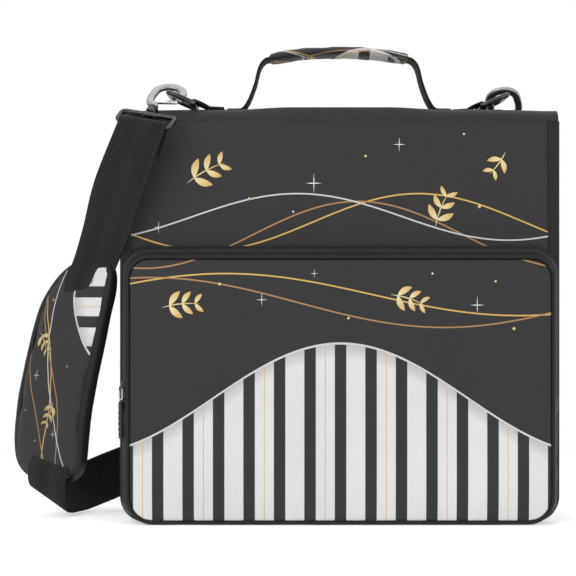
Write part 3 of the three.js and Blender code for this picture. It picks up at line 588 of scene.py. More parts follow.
def ribbedWebbing(name, shadedGrooveHex, litRibTopHex):
    # Polyester webbing, woven with raised lengthwise ribs 2 mm apart: matt black, with painted light on the
    # ribs' tops and painted shade, nearly black, in the grooves between them
    made, tree = newMaterial(name)
    u, v = surfaceCoords(tree, "uv")
    rib = mathOf(tree, "COSINE", mathOf(tree, "MULTIPLY", v, 2 * math.pi / 0.002))
    rib = mathOf(tree, "MULTIPLY_ADD", rib, 0.5, 0.5)
    cross = mathOf(tree, "SINE",
                   mathOf(tree, "MULTIPLY", mathOf(tree, "MULTIPLY_ADD", rib, 0.0007, u), 2 * math.pi / 0.0016))
    height = mathOf(tree, "MULTIPLY_ADD", cross, 0.16, rib)
    # Painted shade and light: the grooves take the dark colour, the ribs' tops the light one
    colour = blendColour(tree, mathOf(tree, "POWER", rib, 1.4), linear(shadedGrooveHex), linear(litRibTopHex))
    shader = clothShader(tree, colour, height, 0.72, 0.35, 0.02)
    return shaded(made, shader)


def plated(name, hexColour, rough):
    # Zinc or steel with a plated coat: metallic, small pits of the casting, a painted highlight on convex edges
    made, tree = newMaterial(name)
    noise = noiseOf(tree, 260.0, 3.0)
    # Painted highlight: the colour is lighter where the pointiness marks a convex edge
    edgePointiness = add(tree, "ShaderNodeNewGeometry").outputs["Pointiness"]
    edgeHighlight = add(tree, "ShaderNodeMapRange", {"Value": edgePointiness, "From Min": 0.52, "From Max": 0.6}).outputs[0]
    colour = blendColour(tree, edgeHighlight, linear(hexColour),
                         tuple(min(1, 1.5 * c + 0.03) for c in linear(hexColour)[:3]) + (1,))
    roughness = mathOf(tree, "MULTIPLY_ADD", noise, 0.16, rough - 0.08)
    shader = add(tree, "ShaderNodeBsdfPrincipled", {"Base Color": colour, "Metallic": 1.0, "Roughness": roughness,
                                                    "Normal": bumpOf(tree, 0.06, 0.0002, noise)})
    return shaded(made, shader)


def grained(name, scale, detail, strength, distance, colour, **values):
    # A surface with fine noise in its bump; colour(tree, noise) gives its tone, values the rest of the shader
    made, tree = newMaterial(name)
    noise = noiseOf(tree, scale, detail)
    normal = bumpOf(tree, strength, distance, noise)
    shader = add(tree, "ShaderNodeBsdfPrincipled", {"Base Color": colour(tree, noise), "Normal": normal, **values})
    return shaded(made, shader)


def mouldedPlastic(name, hexColour, rough):
    # Injection-moulded nylon: fine even grain, slightly glossy
    bright = tuple(1.35 * c for c in linear(hexColour)[:3]) + (1,)
    return grained(name, 1400.0, 2.0, 0.12, 0.0002,
                   lambda tree, grain: blendColour(tree, grain, linear(hexColour), bright), Roughness=rough,
                   IOR=1.53)


def greyBoard(name):
    # Pressed grey board, hidden between cloth and lining: short fibres in two browns
    return grained(name, 700.0, 5.0, 0.3, 0.0003,
                   lambda tree, fibre: blendColour(tree, fibre, linear("#6f6352"), linear("#a08f72")),
                   Roughness=0.92)


def foilInk(name, lightHex, deepHex):
    # Printed metal-look ink on cloth: flat colour that runs from pale to deep along each motif, low gloss
    def colour(tree, noise):
        source = add(tree, "ShaderNodeUVMap", uv_map="cloth").outputs[0]
        run = add(tree, "ShaderNodeSeparateXYZ", {0: source}).outputs[0]
        return blendColour(tree, mathOf(tree, "MULTIPLY", run, 1000.0), linear(lightHex), linear(deepHex))
    return grained(name, 900.0, 2.0, 0.2, 0.0003, colour, Roughness=0.5)


coverLines = [(printLook["gold"], 0.232, 0.022, 0.052, 0.4), (printLook["copper"], 0.222, 0.026, 0.052, 1.3),
              (printLook["silver"], 0.236, 0.018, 0.052, 2.2), (printLook["gold"], 0.176, 0.016, 0.071, 2.8),
              (printLook["copper"], 0.170, 0.019, 0.071, 3.6)]
cloth = charcoalPolyester("charcoal_polyester_cloth", "#2d2d2d")
gusset = charcoalPolyester("charcoal_gusset_cloth", "#2a2a2a", rough=0.55)
liningCloth = charcoalPolyester("black_lining_cloth", "#232325", rough=0.5)
edgeTape = charcoalPolyester("folded_edge_tape", "#1c1c1c", rough=0.48, pitch=0.0008)
zipTape = charcoalPolyester("knitted_zip_tape", "#1e1e1e", rough=0.7, pitch=0.0009)
coverPrint = printedPolyester("printed_polyester_cover", "flat", (0.096, 0.042, 0.062), coverLines)
# On the pad and the grip the design is turned and shrunk: lines run along the pad, and the stripes lie across it
padPrint = printedPolyester("printed_polyester_pad", "pad", (-0.013, 0.020, 0.030),
                            [(printLook["gold"], 0.036, 0.010, 0.034, 0.5),
                             (printLook["copper"], 0.030, 0.012, 0.034, 1.4),
                             (printLook["silver"], 0.022, 0.009, 0.040, 2.6),
                             (printLook["copper"], 0.044, 0.008, 0.030, 3.1)],
                            (0.178, 0.143), lineHalf=0.00045)
gripPrint = printedPolyester("printed_polyester_grip", "flat", (0.3595, 0.0085, 0.017),
                             [(printLook["gold"], 0.3665, 0.0040, 0.016, 0.3),
                              (printLook["silver"], 0.3655, 0.0035, 0.013, 1.2),
                              (printLook["copper"], 0.3640, 0.0040, 0.019, 2.2)], (0.020, 0.0), size=1.0,
                             lineHalf=0.0003)
# The webbing's two colours are painted shade for its grooves and painted light for its ribs' tops
webbing = ribbedWebbing("ribbed_polyester_webbing", "#0a0a0a", "#303030")
thread = charcoalPolyester("black_sewing_thread", "#242424", rough=0.6, pitch=0.0005)
gunmetal = plated("gunmetal_plated_zinc", "#3d3d40", 0.3)
castHook = plated("grey_cast_zinc", "#8f9092", 0.4)
nickel = plated("nickel_plated_steel", "#c9c8c4", 0.22)
zipTeeth = mouldedPlastic("nylon_zip_teeth", "#323232", 0.42)
pullPlastic = mouldedPlastic("moulded_rubber_pull", "#191919", 0.5)
board = greyBoard("pressed_grey_board")
goldInk = foilInk("gold_printed_ink", "#f4e8b4", "#d8ab5c")
silverInk = foilInk("silver_printed_ink", "#ffffff", "#d8d8dc")
print("materials made")


covers = {
    "pucker": 0.35, "puckerLong": 16.0, "rolled": 3.4, "stitchPitch": 3.4, "stitchLong": 2.3, "stitchAt": -7.7,
    "outerFace": 36.15, "innerFace": 29.45, "clothFace": 35.3, "liningFace": 30.3,
}


def coverDepth(side, base, amount, seed):
    # Flat face with shallow ripples that are strongest near the sewn edge
    def depth(x, z):
        flat = np.clip((310.2 - z) / 4, 0, 1)
        near = np.exp(-(170 - np.abs(x)) / 22) + np.exp(-z / 22) + 0.6 * np.exp(-(310 - z) / 16)
        wave = ripple(x, z, seed, 6, covers["puckerLong"])
        return side * (base + flat * amount * wave * (0.35 + np.minimum(near, 1)))
    return depth


def coverPieces(name, side):
    # Cloth and lining of one cover, the tape folded round its edge, and two rows of stitches
    b = binder
    inset = 1.2
    seed = 11 if side < 0 else 23
    size = (b["half"] - inset, inset, b["coverTop"] + 0.5, b["corner"] - inset, 0.0)
    outer = plate(*size, coverDepth(side, b["face"] - 0.15, covers["pucker"], seed))
    skin = shell(f"{name}_cloth_skin", outer, level(outer, 1, side * (b["face"] - 1.0)))
    rest(skin, name, "printed_cloth" if side < 0 else "cloth", coverPrint if side < 0 else cloth, f"{name}_cloth")
    flat = plate(*size, lambda x, z: side * (30.75 + 0.12 * ripple(x, z, seed + 1, 5, 22.0)), 60, 60)
    rest(shell(f"{name}_lining_skin", level(flat, 1, side * 31.4), flat), name, "lining", liningCloth,
         f"{name}_lining")
    keep(f"{name}_board", board)

    at, way = rim(b["half"], 0.0, b["coverTop"], b["corner"], counts=(90, 14, 110))
    run = np.arange(len(at)) * 3.2
    y0, y1 = covers["clothFace"], covers["liningFace"]
    outerFace, innerFace = covers["outerFace"], covers["innerFace"]
    rolled = covers["rolled"]
    lip = rolled / 2
    # Flat tape with a pressed seam, then a fuller rolled edge with a shallow dent between them
    sectionList = [
        (-9, y0), (-9, outerFace - 0.35), (-8.4, outerFace - 0.05), (-6.6, outerFace - 0.12),
        (-5.2, outerFace - 0.05),
        (-rolled - 0.7, outerFace - 0.08), (-rolled, outerFace - 0.42), (-rolled + 0.7, outerFace + 0.1),
        (-lip, outerFace + 0.28), (-0.55, outerFace - 0.35), (-0.08, outerFace - 1.5), (0.0, 32.8),
        (-0.08, innerFace + 1.5), (-0.55, innerFace + 0.35), (-lip, innerFace - 0.1), (-rolled, innerFace + 0.3),
        (-rolled - 0.7, innerFace), (-8.4, innerFace + 0.05), (-9, innerFace + 0.3), (-9, y1), (-1.0, y1),
        (-1.0, y0)]
    section = np.repeat(np.array(sectionList)[None], len(at), 0)
    wavy = 0.16 * ripple(run, 0 * run, seed + 3, 6, 9.0)
    section[:, 2:11, 1] += wavy[:, None]
    section[:, 0:4, 0] += 0.25 * ripple(run, 0 * run, seed + 4, 5, 14.0)[:, None]
    section[..., 1] *= side
    rest(grid(f"{name}_edge_tape", around(at, way, section), closeV=True), name, "edge_tape", edgeTape,
         f"{name}_binding")

    lines = []
    for y, out in ((outerFace - 0.02, side), (innerFace, -side)):
        line = around(at, way, np.array([[covers["stitchAt"], side * y]]))[:, 0]
        lines.append((line, np.tile([0.0, out, 0.0], (len(line), 1))))
    stitches = rowOf(f"{name}_tape_stitches", bead(covers["stitchLong"], 0.55, 0.4), covers["stitchPitch"], lines)
    rest(stitches, name, "edge_tape", thread)


coverPieces("front_cover", -1)
coverPieces("back_cover", 1)
print("covers made")

walls = {"inset": 6.0, "reach": 29.1, "slit": 4.3, "wave": 0.5, "waveLong": 12.0, "thick": 1.2, "tooth": 1.7,
         "toothLong": 2.3, "tapeWide": 12.0}


def wallPieces(name, side):
    # Gusset cloth between a cover and its half of the zip, the zip tape, and its teeth
    b = binder
    w = walls
    at, way = rim(b["half"] - w["inset"], 0.0, b["insideTop"] - 0.3, b["corner"], counts=(80, 12, 100))
    run = np.cumsum(np.concatenate([[0], np.linalg.norm(np.diff(at, axis=0), axis=1)]))
    edge = b["zipY"] + side * w["slit"]
    t = np.linspace(0, 1, 14)
    y = side * w["reach"] + (edge - side * w["reach"]) * t
    fade = bump01(t, 0, 1, 0.3)[None]
    # The cloth only sags inwards, so that it stays off the cover's edge
    waves = w["wave"] * ripple(run[:, None], y[None], 31 + side, 6, w["waveLong"]) * fade
    sag = np.clip(waves - 0.35 * fade, -1, 0.0)
    out = np.stack([sag, np.broadcast_to(y, sag.shape)], -1)
    back = out.copy()
    back[..., 0] -= w["thick"]
    rest(shell(f"{name}_gusset", around(at, way, out), around(at, way, back)), name, "cloth", gusset,
         f"{name}_wall")

    at, way = rim(b["half"] - w["inset"], 0.0, b["insideTop"] - 5, b["corner"], counts=(80, 12, 100))
    inner = b["zipY"] + side * 0.7
    root = inner + side * 1.2
    far = [root, root + side * w["tapeWide"] / 2, root + side * w["tapeWide"]]
    tape = [(-1.5, y) for y in far] + [(-2.3, y) for y in far[::-1]]
    half = name.split("_")[0]
    rest(grid(f"main_zip_{half}_tape", around(at, way, tape), closeV=True), name, "zip_chain", zipTape,
         f"main_zip_{half}")
    line = around(at, way, np.array([[-1.9, inner + side * 0.95]]))[:, 0]
    ways = np.insert(way, 1, 0.0, axis=1)
    # The teeth of one half stand between those of the other
    teeth = rowOf(f"main_zip_{half}_teeth", block(1.1, w["toothLong"], 2.1, 0.72), w["tooth"], [(line, ways)],
                  w["tooth"] / 2 if side > 0 else 0.0)
    rest(teeth, name, "zip_chain", zipTeeth)


wallPieces("front_cover", -1)
wallPieces("back_cover", 1)
print("gussets and main zip made")


spineLook = {"top": 319.95, "low": 319.0, "liningTop": 316.4, "liningLow": 315.75, "foldY": 25.0, "foldZ": 310.0,
             "foldOut": 9.85, "foldIn": 8.9, "rise": 1.9, "droop": 1.5}


def spineRise(x):
    # The handle pulls the cloth up between its feet, and the ends droop a little
    droop = spineLook["droop"] * np.clip((np.abs(x) - 100) / 70, 0, 1) ** 2
    return spineLook["rise"] * bump01(x, -82, 82, 44) - droop


def spinePieces():
    # Cloth and lining over the spine, and the cloth that folds down to each cover
    b = binder
    s = spineLook
    half = b["half"] - 0.9
    x = np.linspace(-half, half, 130)
    y = np.linspace(-b["spineHalf"], b["spineHalf"], 26)
    gx, gy = np.meshgrid(x, y, indexing="ij")
    lift = 0.25 * ripple(gx, gy, 41, 6, 14.0) * np.clip((b["spineHalf"] - np.abs(gy)) / 5, 0, 1)
    top = np.stack([gx, gy, s["top"] + lift * 0.6 + spineRise(gx)], -1)
    rest(shell("spine_cloth_skin", top, level(top, 2, s["low"])), "spine", "cloth", cloth, "spine_cloth")
    under = np.stack([gx, gy, s["liningLow"] + 0.1 * lift], -1)
    rest(shell("spine_lining_skin", level(under, 2, s["liningTop"]), under), "spine", "lining", liningCloth,
         "spine_lining")
    # Cloth turned down over both ends of the board
    gy, t = np.meshgrid(y, np.linspace(0, 1, 7), indexing="ij")
    z = 320.0 + spineRise(half) + (315.8 - 320.0 - spineRise(half)) * t
    for name, side in (("left", -1), ("right", 1)):
        out = np.stack([side * (half + 0.15 + 0.6 * np.sin(math.pi * t)), side * gy, z], -1)
        rest(shell(f"spine_end_{name}", out, level(out, 0, side * (half - 0.5))), "spine", "cloth", cloth)
    keep("spine_board", board)
    for name, side in (("front", -1), ("back", 1)):
        a = np.radians(np.linspace(-1.5, 91.5, 15))
        gx, ga = np.meshgrid(x, a, indexing="ij")
        crease = 0.28 * ripple(gx, ga * 9, 43 + side, 6, 10.0) * np.sin(2 * np.clip(ga, 0, math.pi / 2))
        r = s["foldOut"] + crease
        pull = spineRise(gx) * np.clip(np.sin(ga), 0, 1) ** 2
        out = np.stack([gx, side * (s["foldY"] + r * np.cos(ga)), s["foldZ"] + 0.1 + r * np.sin(ga) + pull], -1)
        inn = np.stack([gx, side * (s["foldY"] + s["foldIn"] * np.cos(ga)),
                        s["foldZ"] + s["foldIn"] * np.sin(ga)], -1)
        fold = shell(f"fold_cloth_{name}_skin", out, inn)
        rest(fold, ("spine", f"{name}_cover", (0, side * 25.0 * mm, 320 * mm), (0, side * 35.0 * mm, 310 * mm)),
             "cloth", cloth, f"fold_cloth_{name}")


spinePieces()
print("spine made")


pocketLook = {
    "half": 161.0, "foot": 3.4, "top": 203.0, "lowRadius": 18.0, "highRadius": 15.0, "face": 53.0,
    "crown": 2.6, "slopeTop": 10.0, "slopeSide": 7.0, "slopeFoot": 2.0, "outerRadius": 20.0,
    "base": 37.4, "bandTop": 50.3, "zipAt": 0.6, "zipEnd": 93.0, "wave": 1.8, "waveLong": 15.0,
    "piping": 1.45, "tooth": 1.65,
}
stationCounts = (56, 12, 80)


def pocketFaceY(x, z):
    # Y of the panel: full in the middle, drawn in towards its seam, with long shallow ripples
    p = pocketLook
    side = np.clip((p["half"] - np.abs(x)) / 34, 0, 1)
    low = np.clip((z - p["foot"]) / 30, 0, 1)
    high = np.clip((p["top"] - z) / 30, 0, 1)
    full = np.sqrt(np.sin(side * math.pi / 2) * np.sin(low * math.pi / 2) * np.sin(high * math.pi / 2) + 1e-9)
    waves = 0.30 * ripple(x, z, 61, 5, 38.0) * full
    seam = 0.34 * ripple(x * 1.6, z * 1.6, 62, 5, 11.0) * (full * (1 - full)) * 2.4
    return -(p["face"] - 1.0 + p["crown"] * full + waves + seam)


def pocketPieces():
    # Crowned panel, the corded seam round it, the gusset below and the zip on its slope
    p = pocketLook
    inset = 0.4
    face = plate(p["half"] - inset, p["foot"] + inset, p["top"] - inset, p["lowRadius"], p["highRadius"],
                 pocketFaceY, 120, 150)
    rest(shell("pocket_panel_skin", face, level(face, 1, 2.0 - p["face"])), "front_cover", "printed_cloth",
         coverPrint, "pocket_panel")

    inner, way = rim(p["half"], p["foot"], p["top"], p["lowRadius"], p["highRadius"], True, stationCounts)
    outer, _ = rim(p["half"] + p["slopeSide"], p["foot"] - p["slopeFoot"], p["top"] + p["slopeTop"],
                   p["outerRadius"], p["outerRadius"], True, stationCounts)
    run = np.arange(len(inner)) * 3.4
    r = p["piping"] * (1 + 0.07 * ripple(run, 0 * run, 63, 5, 6.0))
    a = np.linspace(0, 2 * math.pi, 12, endpoint=False)
    section = np.stack([1.55 + r[:, None] * np.cos(a), -(p["face"] - 1.25) + r[:, None] * np.sin(a)], -1)
    cord = around(inner, way, section)
    cord[..., 2] = np.maximum(cord[..., 2], 0.25)
    rest(grid("pocket_corded_seam", cord, closeU=True, closeV=True), "front_cover", "edge_tape", edgeTape,
         "pocket_piping")

    # The slope runs from the panel's edge back to the cover; t is how far along it, h how far out of it
    start = np.stack([inner[:, 0], np.full(len(inner), -p["bandTop"]), inner[:, 1]], 1)
    end = np.stack([outer[:, 0], np.full(len(outer), -p["base"]), outer[:, 1]], 1)
    reach = np.linalg.norm(end - start, axis=1, keepdims=True)
    down = (end - start) / reach
    ways = np.insert(way, 1, 0.0, axis=1)
    ways = unit(ways - down * (ways * down).sum(1, keepdims=True))

    def onSlope(index, t, h):
        # Points at t along the slope and h out of it, for chosen stations
        t = np.asarray(t, float)
        h = np.asarray(h, float)
        return start[index][:, None] + down[index][:, None] * t[..., None] + ways[index][:, None] * h[..., None]

    # The gusset takes the stations below the zip's ends, and one more on each side
    low = inner[:, 1] < p["zipEnd"] - 1
    gussetRun = np.flatnonzero(low)
    gussetRun = np.arange(gussetRun.min() - 1, gussetRun.max() + 2)
    n = reach[gussetRun]
    u = np.linspace(0, 1, 20)[None]
    length = np.concatenate([[0], np.cumsum(np.linalg.norm(np.diff(start[gussetRun], axis=0), axis=1))])[:, None]
    fade = bump01(u, 0.0, 1.0, 0.22)
    x = start[gussetRun][:, :1]
    z = start[gussetRun][:, 2:3]
    turn = np.exp(-np.hypot(np.abs(x) - 150, z - 16) / 34)
    under = np.clip((z - 3) / 10, 0.12, 1)
    fold = (p["wave"] * ripple(length, u * 13, 64, 6, p["waveLong"])
            + 2.0 * np.sin(length / 5.2 + 1.6 * np.sin(length / 17)) * turn)
    h = fold * fade * under * 0.8 + 0.9 * fade * under
    t = u * n
    outerSheet = onSlope(gussetRun, t, h)
    innerSheet = onSlope(gussetRun, t, h - 1.0)
    outerSheet[..., 2] = np.maximum(outerSheet[..., 2], 0.2)
    innerSheet[..., 2] = np.maximum(innerSheet[..., 2], 0.7)
    rest(shell("pocket_gusset", outerSheet, innerSheet), "front_cover", "cloth", gusset, "pocket_wall")

    order = np.roll(np.arange(len(inner)), -gussetRun.max())
    zipRun = order[:len(inner) - len(gussetRun) + 2]
    n = reach[zipRun]
    chain = n * p["zipAt"]
    count = len(zipRun)
    ones = np.ones((count, 1))
    length = np.arange(count)[:, None] * 3.4
    for side, name in ((-1, "pocket_zip_outer"), (1, "pocket_zip_inner")):
        near = chain + side * 0.95
        far = 0 * n if side < 0 else n
        u = np.linspace(0, 1, 9)[None]
        t = far + (near - far) * u
        wave = 0.22 * ripple(length, t, 66 + side, 5, 9.0) * bump01(u, 0, 1, 0.3)
        lift = 0.45 * np.exp(-((u - 0.62) / 0.10) ** 2)
        top = onSlope(zipRun, t, 0.5 + wave + lift)
        bottom = onSlope(zipRun, t, -0.5 + wave)
        rest(shell(f"{name}_tape", top, bottom), "front_cover", "zip_chain", zipTape, name)
        line = onSlope(zipRun, chain + side * 0.82, ones * 0.35)[:, 0]
        teeth = rowOf(f"{name}_teeth", block(1.05, 2.2, 1.9, 0.7), p["tooth"], [(line, ways[zipRun])],
                      p["tooth"] / 2 if side > 0 else 0.0)
        rest(teeth, "front_cover", "zip_chain", zipTeeth)
        seam = onSlope(zipRun, chain + side * 3.3, ones * 0.62)[:, 0]
        stitches = rowOf(f"{name}_stitches", bead(2.1, 0.5, 0.36), 3.1, [(seam, ways[zipRun])])
        rest(stitches, "front_cover", "zip_chain", thread)
    # Small tabs of tape that cover the zip's two ends
    for side in (-1, 1):
        middle = p["zipEnd"] - 3.5
        k = int(np.argmin(np.abs(inner[:, 1] - middle) + (inner[:, 0] * side < 0) * 999))
        wide = reach[k, 0] - 1.6
        t = np.linspace(0.8, reach[k, 0] - 0.8, 12)[None]
        z = np.linspace(-5.5, 5.5, 9)[:, None]
        dome = np.sin(math.pi * (t - 0.8) / wide) ** 0.5 * np.cos(z / 5.5 * 1.35) ** 0.5
        base = start[k] + down[k] * t[..., None] + np.array([0, 0, 1.0]) * z[..., None]
        tape = shell(f"pocket_zip_end_{'left' if side < 0 else 'right'}",
                     base + ways[k] * (0.9 + 0.9 * dome)[..., None], base + ways[k] * 0.4)
        rest(tape, "front_cover", "edge_tape", edgeTape)
    return start, down, ways, reach, inner


pocketStations = pocketPieces()
print("pocket made")


def flatPocket(name, side, half, top, node):
    # Slip pocket sewn to a lining on three sides, a little full at its open edge
    low = 21.2
    x = np.linspace(-half, half, 90)
    z = np.linspace(low, top, 50)
    gx, gz = np.meshgrid(x, z, indexing="xy")
    inside = np.clip((half - np.abs(gx)) / 26, 0, 1) * np.clip((gz - low) / 26, 0, 1)
    y = 29.35 - 0.4 * inside * (0.5 + 0.5 * ripple(gx, gz, 71 + side, 5, 26.0))
    face = np.stack([gx, side * y, gz], -1)
    cover = f"{'front' if side < 0 else 'back'}_cover"
    rest(shell(f"{name}_cloth", face, level(face, 1, side * 30.3)), cover, "lining", liningCloth, node)
    hem = np.stack([x, np.full_like(x, side * 29.3), np.full_like(x, top - 3.5)], 1)
    stitches = rowOf(f"{name}_stitches", bead(2.4, 0.5, 0.4), 3.6,
                     [(hem, np.tile([0.0, -float(side), 0.0], (len(hem), 1)))])
    rest(stitches, cover, "lining", thread)


flatPocket("inner_pocket_front_skin", -1, 149.8, 203.0, "inner_pocket_front")
flatPocket("inner_pocket_back_skin", 1, 112.5, 188.0, "inner_pocket_back")


sliderLook = {"long": 13.0, "wide": 8.0, "plate": 1.2, "inside": 1.4, "wire": 0.52, "pullLong": 30.0,
              "mainAt": (-162.1, -6.0, 288.6), "pocketStation": 101.4, "pocketZ": 102.43}


def sliderFrame(point, turn):
    # A slider's own axes: x out of the zip (towards -X when turn is 0), y across it, z along it
    c, s = math.cos(turn), math.sin(turn)
    return np.asarray(point, float), np.array([[c, s, 0], [-s, c, 0], [0, 0, 1.0]])


def setDown(points, place):
    # Points of the slider's own axes carried to the binder's axes
    origin, axes = place
    return origin + points @ axes


def sliderPieces(name, node, body, place):
    # Two domed plates with a waist, a neck between them, and the arched lug that holds the pull
    p = sliderLook
    t = np.linspace(0, 1, 15)
    z = (t - 0.5) * p["long"]
    half = p["wide"] / 2 * (0.80 + 0.20 * np.cos((t - 0.15) * 3.6) ** 2)
    half = half * blunt(2 * t - 1, 8, 0.12)
    v = np.linspace(-1, 1, 11)
    parts = []
    for side in (-1, 1):
        x0 = side * p["inside"]
        y = half[:, None] * v[None]
        dome = 0.45 * (1 - v ** 4)[None] * blunt(2 * t - 1, 4, 0)[:, None]
        outX = np.broadcast_to(x0 + side * (p["plate"] - 0.45), y.shape) + side * dome
        outer = np.stack([outX, y, np.broadcast_to(z[:, None], y.shape)], -1)
        parts.append(shell(f"{node}_{'outer' if side < 0 else 'inner'}_plate", setDown(outer, place),
                           setDown(level(outer, 0, x0), place)))
    neck = np.stack([np.linspace(-p["inside"] - 0.1, p["inside"] + 0.1, 5), np.zeros(5), np.full(5, 1.5)], 1)
    parts.append(grid(f"{node}_neck", setDown(carry(neck, disc(1.9, 10, 0.34), (0, 1, 0)), place), closeV=True))
    top = -(p["inside"] + p["plate"])
    lug = arc((top + 0.35, 0, 1.0), (-1, 0, 0), (0, 0, 1), 1.9, -105, 105, 13)
    lug[:, 0] = top + 0.35 + (lug[:, 0] - top - 0.35) * 1.15
    lug[:, 2] = 1.0 + (lug[:, 2] - 1.0) * 1.5
    parts.append(grid(f"{node}_lug", setDown(carry(lug, softBox(0.55, 3.0, 0.2), (0, 1, 0)), place), closeV=True))
    for k, part in enumerate(parts):
        rest(part, body, "gunmetal", gunmetal, *((node,) if k == 0 else ()))


def pullPieces(name, body, place, nodes, rubber):
    # A wire loop through the lug, and a tongue below it: flat stamped metal, or a ribbed rubber tab
    p = sliderLook
    x = -(p["inside"] + p["plate"] + 0.85)
    low = -7.0 if rubber else -4.0
    half = 3.0
    corner = 1.6
    loop = np.concatenate([
        [[x, -half, 0.95]], [[x, -half, low + corner + 1]],
        arc((x, -half + corner, low + corner), (0, -1, 0), (0, 0, -1), corner, 0, 90, 7),
        arc((x, half - corner, low + corner), (0, 0, -1), (0, 1, 0), corner, 0, 90, 7),
        [[x, half, low + corner + 1]], [[x, half, 0.95]]])
    loop = evenly(loop, 0.7, closed=True)[0]
    wire = setDown(carry(loop, disc(p["wire"], 10), (1, 0, 0), closed=True), place)
    wire = grid(f"{name}_wire", wire, closeU=True, closeV=True)
    rest(wire, body, "nickel" if rubber else "gunmetal", nickel if rubber else gunmetal, nodes[0])
    top = low - (0.6 if rubber else 0.2)
    t = np.linspace(0, 1, 60)
    z = top - t * p["pullLong"]
    ease = blunt(2 * t - 1, 14, 0.05)
    if rubber:
        half = (2.3 + 0.25 * np.sin(t * 3.1)) * ease
        thick = 1.45 * ease * (1 + 0.16 * np.sin(t * 44) * bump01(t, 0.18, 0.92, 0.08))
    else:
        half = (2.0 + 1.4 * np.clip((t - 0.1) / 0.5, 0, 1)) * ease
        thick = 0.68 * ease + 0.12 * bump01(t, 0.72, 0.95, 0.04)
    a = np.linspace(0, 2 * math.pi, 20, endpoint=False)
    sq = 0.45
    ca = np.sign(np.cos(a)) * np.abs(np.cos(a)) ** sq
    sa = np.sign(np.sin(a)) * np.abs(np.sin(a)) ** sq
    tab = np.stack([x + thick[:, None] * sa[None], half[:, None] * ca[None],
                    np.broadcast_to(z[:, None], (60, 20))], -1)
    tongue = grid(f"{name}_tongue", setDown(tab, place), closeV=True)
    rest(tongue, body, "pull_tab" if rubber else "gunmetal", pullPlastic if rubber else gunmetal, *nodes[1:])


mainPlace = sliderFrame(sliderLook["mainAt"], 0.0)
sliderPieces("main", "main_slider", "main_slider", mainPlace)
pullPieces("main_pull", "main_pull", mainPlace, ["main_slider_pull"], False)
starts, downs, ways, reaches, innerRim = pocketStations
nearest = int(np.argmin(np.abs(innerRim[:, 1] - sliderLook["pocketStation"]) + (innerRim[:, 0] > 0) * 999))
chainAt = starts[nearest] + downs[nearest] * reaches[nearest] * pocketLook["zipAt"]
chainAt[2] = sliderLook["pocketZ"]
turn = math.atan2(ways[nearest][1], ways[nearest][0]) - math.pi
pocketPlace = sliderFrame(chainAt, turn)
sliderPieces("pocket", "pocket_slider", "pocket_slider", pocketPlace)
pullPieces("pocket_pull", "pocket_pull", pocketPlace, ["pocket_pull_loop", "pocket_pull_tab"], True)
print("sliders made")


ringLook = {
    "spacing": 108.0, "radius": 19.5, "wire": 3.6, "plateHalf": 138.0, "plateWide": 9.0, "plateZ": 305.0,
    "seat": 315.3, "rivetAt": 132.0, "leverAt": 138.3, "leverLong": 18.0, "leverZ": 304.3,
}


